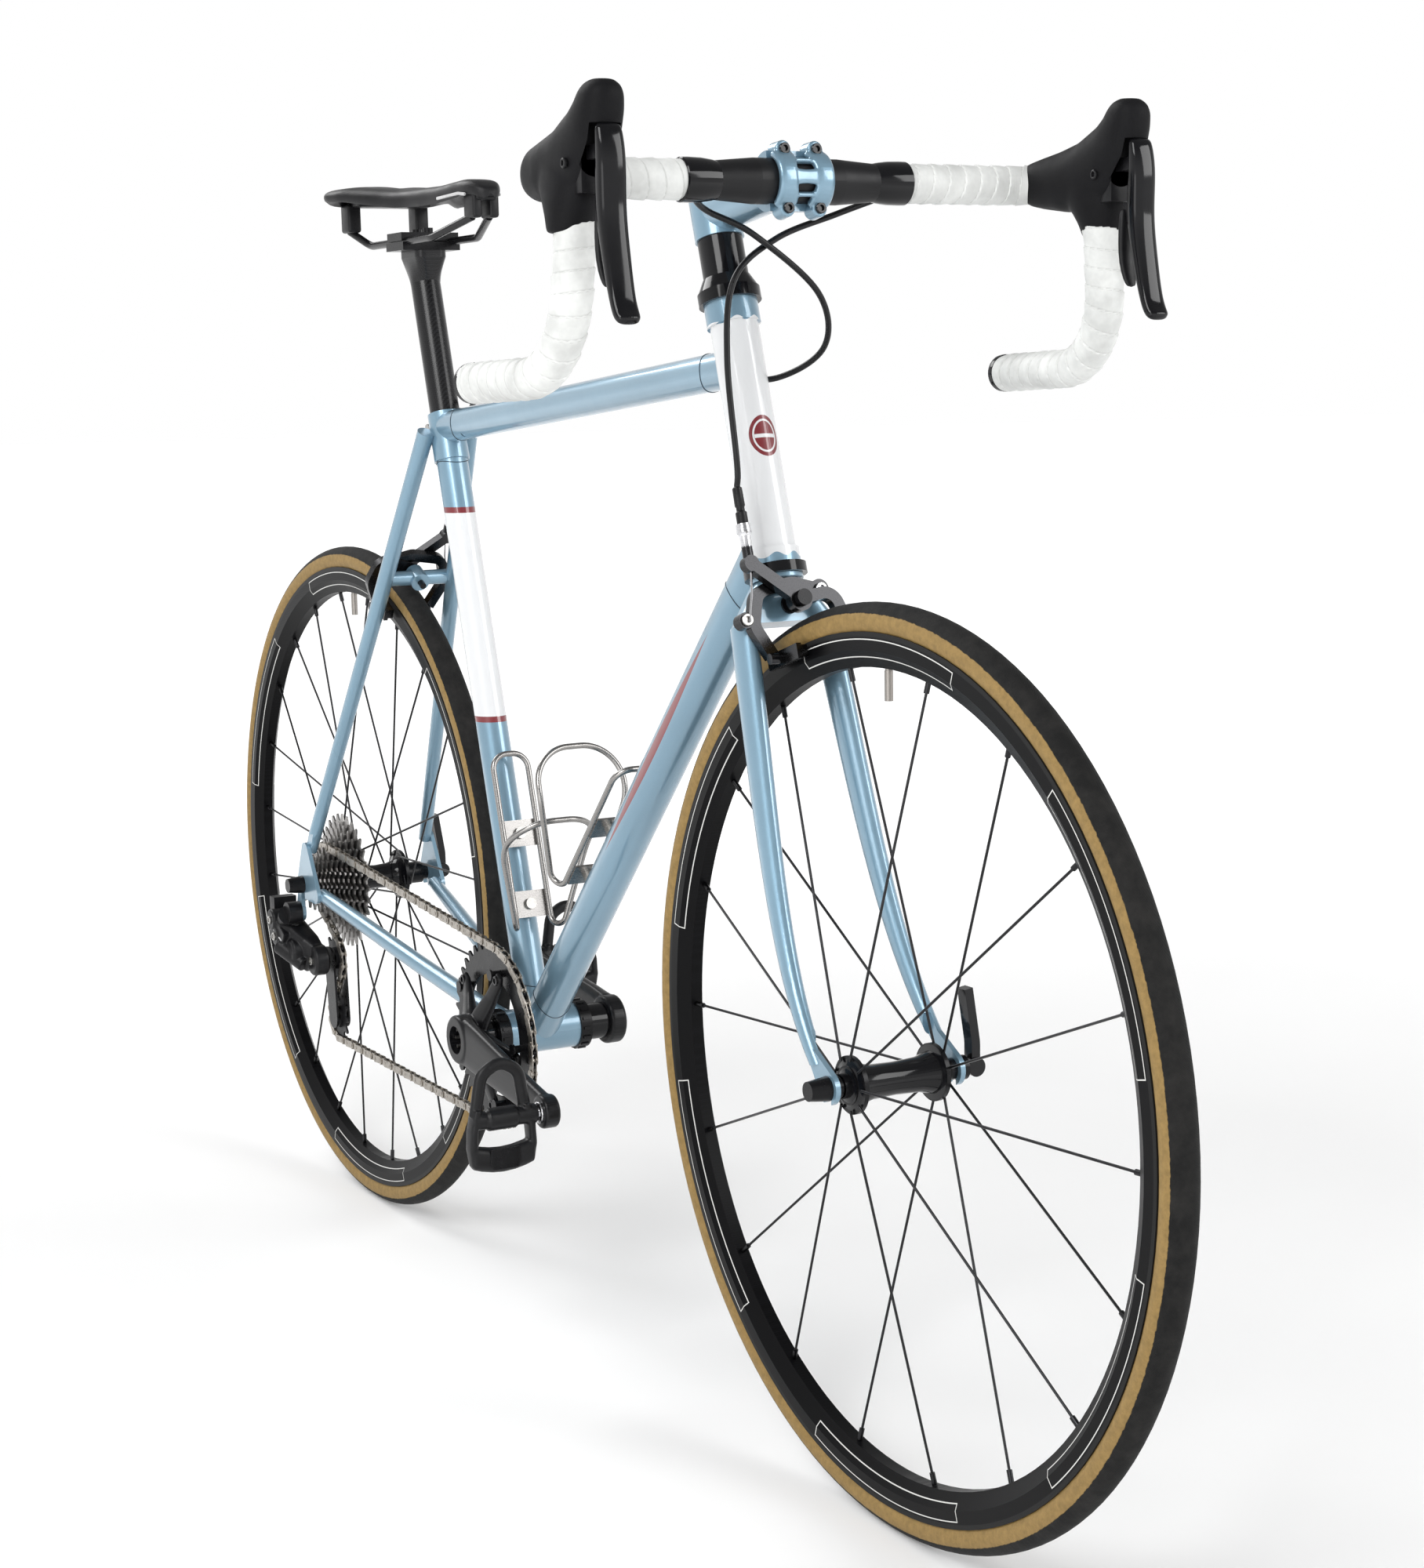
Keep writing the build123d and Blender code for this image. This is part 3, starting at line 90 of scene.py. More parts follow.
# ---------------------------------------------------------------- shader helpers
class Graph:
    """Small wrapper that keeps node trees readable."""

    def __init__(self, name):
        self.material = bpy.data.materials.new(name)
        self.material.use_nodes = True
        self.tree = self.material.node_tree
        self.shader = self.tree.nodes["Principled BSDF"]
        self.links = self.tree.links

    def node(self, kind, **values):
        made = self.tree.nodes.new(kind)
        for key, value in values.items():
            setattr(made, key, value)
        return made

    def link(self, a, b):
        self.links.new(a, b)

    def coords(self):
        return self.node("ShaderNodeTexCoord").outputs["Object"]

    def parts(self, vector):
        split = self.node("ShaderNodeSeparateXYZ")
        self.link(vector, split.inputs[0])
        return split.outputs

    def put(self, socket, value):
        if hasattr(value, "is_output"):
            self.link(value, socket)
        else:
            socket.default_value = value

    def math(self, operation, *values):
        made = self.node("ShaderNodeMath", operation=operation)
        for socket, value in zip(made.inputs, values):
            self.put(socket, value)
        return made.outputs[0]

    def times(self, a, b):
        return self.math("MULTIPLY", a, b)

    def plus(self, a, b):
        return self.math("ADD", a, b)

    def minus(self, a, b):
        return self.math("SUBTRACT", a, b)

    def absolute(self, value):
        return self.math("ABSOLUTE", value)

    def length(self, a, b):
        return self.math("SQRT", self.plus(self.times(a, a), self.times(b, b)))

    def dot(self, x, z, direction):
        return self.plus(self.times(x, direction[0]), self.times(z, direction[1]))

    def colour(self):
        return self.shader.inputs["Base Color"].links[0].from_socket

    def noise(self, vector, scale, detail=3.0, rough=0.5):
        made = self.node("ShaderNodeTexNoise")
        self.link(vector, made.inputs["Vector"])
        made.inputs["Scale"].default_value = scale
        made.inputs["Detail"].default_value = detail
        made.inputs["Roughness"].default_value = rough
        return made.outputs["Fac"]

    def voronoi(self, vector, scale):
        made = self.node("ShaderNodeTexVoronoi")
        self.link(vector, made.inputs["Vector"])
        made.inputs["Scale"].default_value = scale
        return made.outputs["Distance"]

    def wave(self, vector, scale, distortion=0.0, direction="Z"):
        made = self.node("ShaderNodeTexWave", bands_direction=direction)
        self.link(vector, made.inputs["Vector"])
        made.inputs["Scale"].default_value = scale
        made.inputs["Distortion"].default_value = distortion
        return made.outputs["Fac"]

    def stretch(self, vector, scale):
        made = self.node("ShaderNodeMapping")
        self.link(vector, made.inputs["Vector"])
        made.inputs["Scale"].default_value = scale
        return made.outputs[0]

    def span(self, value, low, high, to_low=0.0, to_high=1.0):
        made = self.node("ShaderNodeMapRange")
        self.put(made.inputs["Value"], value)
        for key, number in (("From Min", low), ("From Max", high), ("To Min", to_low), ("To Max", to_high)):
            made.inputs[key].default_value = number
        return made.outputs[0]

    def mix(self, factor, a, b):
        made = self.node("ShaderNodeMix", data_type="RGBA")
        self.put(made.inputs["Factor"], factor)
        for socket, value in ((made.inputs["A"], a), (made.inputs["B"], b)):
            self.put(socket, (*value, 1.0) if isinstance(value, tuple) else value)
        return made.outputs["Result"]

    def bump(self, height, strength, distance=0.001):
        made = self.node("ShaderNodeBump")
        made.inputs["Strength"].default_value = strength
        made.inputs["Distance"].default_value = distance
        self.link(height, made.inputs["Height"])
        previous = self.shader.inputs["Normal"]
        if previous.is_linked:
            self.link(previous.links[0].from_socket, made.inputs["Normal"])
        self.link(made.outputs[0], previous)
        return made.outputs[0]

    def set(self, **values):
        names = {"color": "Base Color", "rough": "Roughness", "metal": "Metallic", "coat": "Coat Weight",
                 "coat_rough": "Coat Roughness", "spec": "Specular IOR Level"}
        for key, value in values.items():
            socket = self.shader.inputs[names[key]]
            self.put(socket, (*value, 1.0) if isinstance(value, tuple) else value)
        return self


def shade(color, factor):
    return tuple(min(1.0, c * factor) for c in color)


def paint(name, color, metal=0.5, rough=0.32, flake=0.25):
    """Sprayed paint under lacquer: fine flake, slow colour drift and a little orange peel."""
    g = Graph(name)
    at = g.coords()
    drift = g.noise(at, 9.0, 2)
    flakes = g.voronoi(at, 2600.0)
    base = g.mix(g.span(drift, 0.3, 0.7), shade(color, 0.93), shade(color, 1.06))
    base = g.mix(g.span(flakes, 0.0, 0.7, 0.0, flake), base, shade(color, 1.35))
    dirt = g.span(g.noise(at, 60.0, 5, 0.65), 0.45, 0.75, rough, rough + 0.1)
    g.set(color=base, metal=metal, rough=dirt, coat=1.0, coat_rough=0.06)
    g.bump(g.noise(at, 420.0, 2), 0.06, 0.0004)
    return g


def coated(name, color, rough=0.4, metal=0.0, grain=900.0, depth=0.12, spread=0.14, coat=0.0, wear=0.0):
    """General surface with grain, uneven gloss and optional rubbed spots."""
    g = Graph(name)
    at = g.coords()
    patch = g.noise(at, 35.0, 4, 0.6)
    base = g.mix(g.span(patch, 0.35, 0.7), shade(color, 0.85), shade(color, 1.18))
    if wear:
        rubbed = g.span(g.noise(at, 140.0, 6, 0.7), 0.6, 0.78, 0.0, wear)
        base = g.mix(rubbed, base, shade((max(color[0], 0.05), max(color[1], 0.05), max(color[2], 0.05)),
                                         3.0))
    g.set(color=base, metal=metal, coat=coat, coat_rough=0.12)
    if max(color) < 0.02:
        g.set(spec=0.3)
    g.set(rough=g.span(g.noise(at, 70.0, 4), 0.3, 0.7, max(0.03, rough - spread / 2), rough + spread / 2))
    g.bump(g.noise(at, grain, 3), depth, 0.0003)
    return g


def brushed(name, color, rough=0.3, stretch=(40, 40, 900), grime=0.0):
    g = Graph(name)
    at = g.coords()
    lines = g.noise(g.stretch(at, stretch), 5.0, 4, 0.6)
    base = g.mix(g.span(lines, 0.3, 0.7), shade(color, 0.82), shade(color, 1.1))
    if grime:
        base = g.mix(g.span(g.noise(at, 260.0, 5, 0.7), 0.48, 0.7, 0.0, grime), base, (0.05, 0.04, 0.03))
    g.set(color=base, metal=1.0, rough=g.span(lines, 0.2, 0.8, max(0.05, rough - 0.1), rough + 0.12))
    g.bump(lines, 0.08, 0.0002)
    return g


def carbon(name, color=(0.02, 0.02, 0.022), rough=0.38, coat=0.3):
    """Satin carbon: short woven tows that catch light in two directions."""
    g = Graph(name)
    at = g.coords()
    one = g.wave(g.stretch(at, (1, 1, 1)), 260.0, 0.4, "X")
    two = g.wave(g.stretch(at, (1, 1, 1)), 260.0, 0.4, "Z")
    weave = g.times(one, two)
    base = g.mix(g.span(weave, 0.1, 0.8), shade(color, 0.7), shade(color, 1.9))
    g.set(color=base, rough=g.span(weave, 0.0, 1.0, rough - 0.06, rough + 0.08), coat=coat, coat_rough=0.2,
          spec=0.25)
    g.bump(weave, 0.05, 0.0002)
    return g


BLUE = (0.175, 0.295, 0.385)
WHITE = (0.70, 0.71, 0.72)
RED = (0.17, 0.004, 0.010)
BLACK = (0.006, 0.006, 0.007)
TAN = (0.27, 0.175, 0.06)


def banded_paint(name, along, edges, inner, outer, stripe=None, ripple=0.0):
    """Paint that changes colour between two heights on a tube, with thin stripes at the edges."""
    g = paint(name, outer)
    at = g.coords()
    xyz = g.parts(at)
    height = g.dot(xyz[0], xyz[2], along)
    if ripple:
        swing = g.math("COSINE", g.times(xyz[1], 420.0))
        height = g.plus(height, g.times(swing, ripple))
    inside = g.times(g.math("GREATER_THAN", height, edges[0]), g.math("LESS_THAN", height, edges[1]))
    old = g.colour()
    colour = g.mix(inside, old, inner)
    if stripe:
        for edge in edges:
            near = g.math("LESS_THAN", g.absolute(g.minus(height, edge)), stripe[1])
            colour = g.mix(near, colour, stripe[0])
            inside = g.math("MAXIMUM", inside, near)
    g.set(color=colour)
    g.set(metal=g.span(inside, 0, 1, 0.5, 0.0))
    return g


def emblem(g, centre, along):
    """Plain dark-red oval with a pale inner line on the front of the head tube."""
    xyz = g.parts(g.coords())
    height = g.dot(xyz[0], xyz[2], along)
    tall = g.math("DIVIDE", g.minus(height, centre), 0.0155)
    wide = g.math("DIVIDE", xyz[1], 0.0115)
    reach = g.length(tall, wide)
    front = g.math("GREATER_THAN", g.plus(g.times(xyz[0], along[1]), g.times(xyz[2], -along[0])), 1.0096)
    disc = g.times(g.math("LESS_THAN", reach, 1.0), front)
    line = g.times(g.math("LESS_THAN", g.absolute(g.minus(reach, 0.76)), 0.05), disc)
    bar = g.times(g.math("LESS_THAN", g.absolute(tall), 0.09), g.math("LESS_THAN", reach, 0.7))
    line = g.math("MAXIMUM", line, g.times(bar, front))
    colour = g.mix(disc, g.colour(), RED)
    g.set(color=g.mix(line, colour, WHITE))


def stripe_paint(name, start, along, out, ends, half):
    """Frame paint with a plain dark-red flash along both flanks of a tube."""
    g = paint(name, BLUE)
    xyz = g.parts(g.coords())
    x = g.minus(xyz[0], start[0])
    z = g.minus(xyz[2], start[1])
    run = g.dot(x, z, along)
    side = g.dot(x, z, out)
    share = g.span(run, ends[0], ends[1])
    limit = g.times(g.math("SINE", g.times(share, math.pi)), half)
    mark = g.math("LESS_THAN", g.absolute(side), limit)
    g.set(color=g.mix(mark, g.colour(), RED))
    g.set(metal=g.span(mark, 0, 1, 0.5, 0.1))
    return g


def from_axle(g, at, centre):
    """Distances from a wheel's axle: along, up and straight."""
    xyz = g.parts(at)
    dx = g.minus(xyz[0], centre.x)
    dz = g.minus(xyz[2], centre.z)
    radius = g.length(dx, dz)
    return dx, dz, radius


def tyre_material(name, centre):
    """Black tread, tan side wall and a moulded line, by distance from the axle."""
    g = Graph(name)
    at = g.coords()
    _, _, radius = from_axle(g, at, centre)
    jitter = g.span(g.noise(at, 300.0, 3), 0.3, 0.7, -0.0003, 0.0003)
    tread = g.span(g.plus(radius, jitter), 0.3283, 0.3288)
    tan = g.mix(g.span(g.noise(at, 160.0, 5, 0.7), 0.35, 0.7), shade(TAN, 0.8), shade(TAN, 1.2))
    threads = g.wave(g.stretch(at, (1, 1, 1)), 520.0, 1.5, "DIAGONAL")
    tan = g.mix(g.span(threads, 0.0, 1.0, 0.0, 0.18), tan, shade(TAN, 0.55))
    rubber = g.mix(g.span(g.noise(at, 55.0, 5, 0.7), 0.4, 0.75), (0.005, 0.005, 0.005), (0.018, 0.017, 0.016))
    g.set(color=g.mix(tread, tan, rubber), rough=g.span(tread, 0, 1, 0.62, 0.78), spec=0.25)
    file_marks = g.wave(g.stretch(at, (1, 1, 1)), 420.0, 0.0, "DIAGONAL")
    g.bump(g.times(file_marks, tread), 0.25, 0.0004)
    g.bump(threads, 0.1, 0.0002)
    return g


def rim_material(name, centre):
    """Satin carbon rim with thin pale outline marks round its flanks, no lettering."""
    g = carbon(name, (0.002, 0.002, 0.0025), 0.42, 0.0)
    g.set(spec=0.1)
    dx, dz, radius = from_axle(g, g.coords(), centre)
    turn = g.math("ARCTAN2", dz, dx)
    phase = g.absolute(g.minus(g.math("FRACT", g.times(turn, 6 / (2 * math.pi))), 0.5))
    dash = g.minus(phase, 0.30)
    depth = g.minus(g.absolute(g.minus(radius, 0.3045)), 0.0062)
    shape = g.math("MAXIMUM", g.times(dash, 0.31), depth)
    line = g.math("LESS_THAN", g.absolute(shape), 0.0004)
    colour = g.mix(line, g.colour(), (0.62, 0.62, 0.6))
    brake = g.math("GREATER_THAN", radius, 0.3125)
    colour = g.mix(g.times(brake, 0.6), colour, (0.02, 0.02, 0.02))
    valve = g.math("LESS_THAN", radius, 0.2905)
    g.set(color=g.mix(valve, colour, (0.3, 0.28, 0.26)), metal=valve)
    return g


M = {}


def make_materials():
    M["blue"] = paint("frame_blue_paint", BLUE)
    along = math.radians(73)
    M["head"] = banded_paint("head_tube_paint", (-math.cos(along), math.sin(along)), (0.4175, 0.5955),
                             WHITE, BLUE, None, 0.0016)
    emblem(M["head"], 0.5062, (-math.cos(along), math.sin(along)))
    M["down"] = stripe_paint("down_tube_paint", (0.404, 0.256), (0.6956, 0.7184), (-0.7184, 0.6956),
                             (0.262, 0.53), 0.0042)
    M["caliper"] = brushed("caliper_alloy", (0.045, 0.045, 0.047), 0.22, (200, 200, 200))
    M["lug"] = coated("lug_shadow", (0.03, 0.055, 0.075), 0.4)
    M["mark"] = coated("pale_mark", (0.5, 0.5, 0.5), 0.5)
    M["seat"] = banded_paint("seat_tube_paint", (0, 1), (0.530, 0.716), WHITE, BLUE, (RED, 0.0026))
    M["steel"] = brushed("stainless_wire", (0.33, 0.32, 0.31), 0.24)
    M["parts"] = brushed("plain_steel", (0.5, 0.49, 0.47), 0.32, (300, 300, 300), 0.3)
    M["chain"] = brushed("nickel_chain", (0.42, 0.39, 0.35), 0.33, (500, 500, 500), 0.55)
    M["cogs"] = brushed("cassette_steel", (0.33, 0.32, 0.31), 0.34, (350, 20, 350), 0.5)
    M["anodised"] = coated("black_anodised", BLACK, 0.28, 0.3, 1200.0, 0.06, 0.1, 0.0, 0.12)
    M["gloss"] = coated("gloss_black", (0.004, 0.004, 0.005), 0.1, 0.0, 800.0, 0.02, 0.06)
    M["plastic"] = coated("black_plastic", (0.006, 0.006, 0.007), 0.4, 0.0, 1500.0, 0.16, 0.16, 0.0, 0.08)
    M["rubber"] = coated("hood_rubber", (0.007, 0.007, 0.008), 0.55, 0.0, 2600.0, 0.35, 0.12)
    M["rubber"].set(spec=0.1)
    M["leather"] = coated("saddle_skin", (0.006, 0.006, 0.007), 0.42, 0.0, 1900.0, 0.5, 0.16, 0.0, 0.08)
    M["tape"] = coated("white_tape", (0.66, 0.67, 0.655), 0.6, 0.0, 2200.0, 0.3, 0.14)
    tape_with_seam_shade = M["tape"]
    # Painted shade: the tape colour is darkened along each wrap's overlap seam, where the lip of one turn
    # steps over the next.
    turn = tape_with_seam_shade.node("ShaderNodeAttribute", attribute_name="seam").outputs["Fac"]
    edge = tape_with_seam_shade.math("MAXIMUM", tape_with_seam_shade.span(turn, 0.88, 1.0), tape_with_seam_shade.span(turn, 0.05, 0.0))
    tape_with_seam_shade.set(color=tape_with_seam_shade.mix(tape_with_seam_shade.times(edge, 0.5), tape_with_seam_shade.colour(), (0.28, 0.28, 0.27)))
    M["carbon"] = carbon("crank_carbon", (0.006, 0.006, 0.007), 0.36, 0.05)
    M["bar"] = coated("bar_black", (0.005, 0.005, 0.006), 0.45, 0.0, 1500.0, 0.05, 0.1)
    M["post"] = carbon("post_carbon", (0.007, 0.007, 0.008), 0.3, 0.2)
    M["cable"] = coated("cable_jacket", (0.008, 0.008, 0.009), 0.3, 0.0, 1500.0, 0.05, 0.1)
    M["spoke"] = brushed("black_spoke", (0.035, 0.035, 0.037), 0.3)
    M["silver"] = brushed("polished_alloy", (0.72, 0.72, 0.74), 0.16)
    M["pad"] = coated("brake_pad", (0.02, 0.02, 0.02), 0.75, 0.0, 900.0, 0.4, 0.1)
    for place in ("front", "rear"):
        low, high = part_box(f"{place}_tyre")
        centre = (Vector(low) + Vector(high)) / 2
        M[f"{place}_tyre"] = tyre_material(f"{place}_tyre_rubber", centre)
        M[f"{place}_rim"] = rim_material(f"{place}_rim_carbon", centre)


CAD_LOOKS = {
    "head": ["head_tube"],
    "seat": ["seat_tube"],
    "down": ["down_tube"],
    "blue": ["top_tube", "chain_stays", "seat_stays", "fork_crown", "fork_blades", "stem", "stem_faceplate"],
    "gloss": ["headset_cups", "headset_spacers", "front_skewer_lever", "rear_skewer_lever", "lever_right",
              "lever_left"],
    "anodised": ["bottom_bracket_cups", "chainring", "front_hub", "rear_hub", "front_brake_bolt",
                 "rear_brake_bolt",
                 "derailleur_cage", "saddle_clamp", "front_axle", "rear_axle"],
    "caliper": ["front_brake_centre_arm", "front_brake_offset_arm", "rear_brake_centre_arm",
                "rear_brake_offset_arm"],
    "post": ["seatpost", "saddle_rails"],
    "carbon": ["crank_right", "crank_left"],
    "bar": ["handlebar"],
    "steel": ["seat_tube_cage", "down_tube_cage"],
    "parts": ["frame_bolts"],
    "chain": ["chain"],
    "cogs": ["cassette"],
    "plastic": ["derailleur_mount", "derailleur_body", "guide_pulley", "tension_pulley", "pedal_right",
                "pedal_left",
                "paddle_right", "paddle_left"],
    "rubber": ["lever_hoods"],
    "spoke": ["front_spokes", "rear_spokes"],
    "leather": ["saddle_cover"],
    "tape": ["bar_tape"],
    "cable": ["front_brake_cable", "rear_brake_cable_front", "rear_brake_cable_back"],
    "front_tyre": ["front_tyre"], "rear_tyre": ["rear_tyre"],
    "front_rim": ["front_rim"], "rear_rim": ["rear_rim"],
}


def dress_cad():
    for look, names in CAD_LOOKS.items():
        for name in names:
            node = NODES[name]
            for slot in node.material_slots:
                slot.material = M[look].material


# ---------------------------------------------------------------- mesh helpers, all in millimetres
AXIS = Vector((-0.29237, 0, 0.95630))
AHEAD = Vector((0.95630, 0, 0.29237))
ACROSS = Vector((0, 1, 0))
FOOT = Vector((956.97, 0, 322.84))
BAR = Vector((881.5, 0, 961))
BB = Vector((404, 0, 256))


def steer(along, ahead=0.0, side=0.0):
    return FOOT + AXIS * along + AHEAD * ahead + ACROSS * side


def ring(centre, u, v, a, b, count=28, power=2.0):
    points = []
    for k in range(count):
        t = 2 * math.pi * k / count
        c, s = math.cos(t), math.sin(t)
        x = math.copysign(abs(c) ** (2 / power), c)
        y = math.copysign(abs(s) ** (2 / power), s)
        points.append(Vector(centre) + u * (a * x) + v * (b * y))
    return points


def loft(bm, rings, closed=False):
    rows = [[bm.verts.new(p) for p in row] for row in rings]
    count = len(rows[0])
    pairs = list(zip(rows, rows[1:]))
    if closed:
        pairs.append((rows[-1], rows[0]))
    for a, b in pairs:
        for k in range(count):
            bm.faces.new((a[k], a[(k + 1) % count], b[(k + 1) % count], b[k]))
    if not closed:
        bm.faces.new(list(reversed(rows[0])))
        bm.faces.new(rows[-1])


def frame_of(direction, hint=ACROSS):
    along = direction.normalized()
    u = hint - along * hint.dot(along)
    if u.length < 1e-3:
        u = Vector((0, 0, 1)) - along * along.z
    u.normalize()
    return along, u, along.cross(u)


def cylinder(bm, start, end, radius, end_radius=None, count=32, chamfer=0.0):
    start, end = Vector(start), Vector(end)
    along, u, v = frame_of(end - start)
    last = radius if end_radius is None else end_radius
    rows = [(start, radius - chamfer), (start + along * chamfer, radius), (end - along * chamfer, last),
            (end, last - chamfer)]
    if chamfer == 0.0:
        rows = [rows[0], rows[-1]]
    loft(bm, [ring(p, u, v, r, r, count) for p, r in rows])


def lathe(bm, base, direction, profile, count=40):
    along, u, v = frame_of(direction)
    loft(bm, [ring(Vector(base) + along * h, u, v, r, r, count) for h, r in profile])


def block(bm, centre, size, turn=None):
    made = bmesh.ops.create_cube(bm, size=1.0)["verts"]
    matrix = Matrix.Translation(Vector(centre)) @ (turn or Matrix.Identity(4)) @ Matrix.Diagonal((*size, 1.0))
    bmesh.ops.transform(bm, matrix=matrix, verts=made)


def fillet_path(points, radii, step=2.0):
    """Straight runs joined by round corners, as evenly spaced points."""
    points = [Vector(p) for p in points]
    dense = [points[0]]
    for k in range(1, len(points) - 1):
        a, b, c = points[k - 1], points[k], points[k + 1]
        one, two = (a - b).normalized(), (c - b).normalized()
        half = one.angle(two) / 2
        radius = radii[k - 1]
        reach = radius / math.tan(half)
        centre = b + (one + two).normalized() * (radius / math.sin(half))
        start, end = b + one * reach - centre, b + two * reach - centre
        sweep = start.angle(end)
        turn = start.cross(end).normalized()
        for j in range(17):
            dense.append(centre + Quaternion(turn, sweep * j / 16) @ start)
    dense.append(points[-1])
    return resample(dense, step)


def resample(dense, step):
    lengths = [0.0]
    for a, b in zip(dense, dense[1:]):
        lengths.append(lengths[-1] + (b - a).length)
    count = max(2, round(lengths[-1] / step))
    even, k = [], 0
    for j in range(count + 1):
        want = lengths[-1] * j / count
        while k < len(dense) - 2 and lengths[k + 1] < want:
            k += 1
        share = (want - lengths[k]) / max(1e-9, lengths[k + 1] - lengths[k])
        even.append(dense[k].lerp(dense[k + 1], min(1.0, share)))
    return even


def curve_path(points, step=3.0):
    """Smooth curve through held points, as a cable takes."""
    pts = [Vector(p) for p in points]
    pts = [pts[0] * 2 - pts[1]] + pts + [pts[-1] * 2 - pts[-2]]
    dense = []
    for k in range(1, len(pts) - 2):
        p0, p1, p2, p3 = pts[k - 1:k + 3]
        for j in range(12):
            t = j / 12
            dense.append(0.5 * ((2 * p1) + (p2 - p0) * t + (2 * p0 - 5 * p1 + 4 * p2 - p3) * t * t
                                + (3 * p1 - p0 - 3 * p2 + p3) * t ** 3))
    dense.append(pts[-2])
    return resample(dense, step)


def sweep(bm, path, radius, count=16, closed=False):
    """Tube along a path; radius is a number or a function of distance and angle."""
    rows = []
    _, u, v = frame_of(path[1] - path[0])
    before = (path[1] - path[0]).normalized()
    travelled = 0.0
    for k, p in enumerate(path):
        after = path[min(k + 1, len(path) - 1)] - path[max(k - 1, 0)]
        after.normalize()
        turn = before.rotation_difference(after)
        u, v, before = turn @ u, turn @ v, after
        if k:
            travelled += (p - path[k - 1]).length
        row = []
        for j in range(count):
            t = 2 * math.pi * j / count
            r = radius(travelled, t) if callable(radius) else radius
            row.append(p + (u * math.cos(t) + v * math.sin(t)) * r)
        rows.append(row)
    loft(bm, rows, closed)


def as_object(name, bm):
    bmesh.ops.recalc_face_normals(bm, faces=bm.faces)
    bmesh.ops.scale(bm, vec=(MM, MM, MM), verts=bm.verts)
    mesh = bpy.data.meshes.new(name)
    bm.to_mesh(mesh)
    bm.free()
    obj = bpy.data.objects.new(name, mesh)
    bpy.context.scene.collection.objects.link(obj)
    return obj


def piece(name, bm, look, body=None, stands_for=(), voxel=0.0, smooth=0, subdivide=0, bevel=0.0,
          cut=None):
    """Turns millimetre geometry into a finished object on its body."""
    obj = as_object(name, bm)
    if voxel:
        modifier = obj.modifiers.new("join", "REMESH")
        modifier.mode = "VOXEL"
        modifier.voxel_size = voxel * MM
    if smooth:
        modifier = obj.modifiers.new("smooth", "SMOOTH")
        modifier.factor = 0.5
        modifier.iterations = smooth
    if cut:
        for tool in cut:
            modifier = obj.modifiers.new("cut", "BOOLEAN")
            modifier.operation = "DIFFERENCE"
            modifier.object = tool
    if bevel:
        modifier = obj.modifiers.new("edge", "BEVEL")
        modifier.width = bevel * MM
        modifier.segments = 3
        modifier.limit_method = "ANGLE"
        modifier.angle_limit = math.radians(40)
    if subdivide:
        modifier = obj.modifiers.new("round", "SUBSURF")
        modifier.levels = modifier.render_levels = subdivide
    bake(obj)
    obj.data.materials.clear()
    obj.data.materials.append(M[look].material)
    shade_by_angle(obj)
    for tool in cut or ():
        bpy.data.objects.remove(tool)
    if stands_for:
        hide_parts(*stands_for)
    if body:
        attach(obj, body)
    return obj


def bake(obj):
    if not obj.modifiers:
        return
    bpy.context.view_layer.update()
    graph = bpy.context.evaluated_depsgraph_get()
    made = bpy.data.meshes.new_from_object(obj.evaluated_get(graph))
    obj.modifiers.clear()
    obj.data = made


def shade_by_angle(obj, limit=38):
    bm = bmesh.new()
    bm.from_mesh(obj.data)
    for face in bm.faces:
        face.smooth = True
    for edge in bm.edges:
        edge.smooth = len(edge.link_faces) != 2 or edge.calc_face_angle(0) < math.radians(limit)
    bm.to_mesh(obj.data)
    bm.free()


def cutter(bm):
    return as_object("cutter", bm)


def cap_screw(bm, centre, direction, radius, height=3.0):
    """Socket-head screw with a round recess."""
    along, u, v = frame_of(direction)
    centre = Vector(centre)
    loft(bm, [ring(centre, u, v, radius, radius, 24),
              ring(centre + along * (height - 0.5), u, v, radius, radius, 24),
              ring(centre + along * height, u, v, radius - 0.5, radius - 0.5, 24),
              ring(centre + along * height, u, v, radius * 0.55, radius * 0.55, 24),
              ring(centre + along * (height - 1.8), u, v, radius * 0.5, radius * 0.5, 24)])


# ---------------------------------------------------------------- saddle
def saddle_width(x):
    stops = ((108, 34), (114, 52), (124, 62), (136, 65), (155, 62), (180, 51), (205, 39), (238, 28),
             (275, 22), (320, 19), (345, 17), (358, 13), (366, 6))
    return interpolate(stops, x)


def interpolate(stops, x):
    for (a, low), (b, high) in zip(stops, stops[1:]):
        if x <= b:
            t = max(0.0, (x - a) / (b - a))
            return low + (high - low) * t
    return stops[-1][1]


def saddle_top(x):
    return interpolate(((108, 1004), (125, 1010), (160, 1010), (220, 1003), (290, 1002), (335, 1004),
                        (352, 1002), (366, 994)), x)


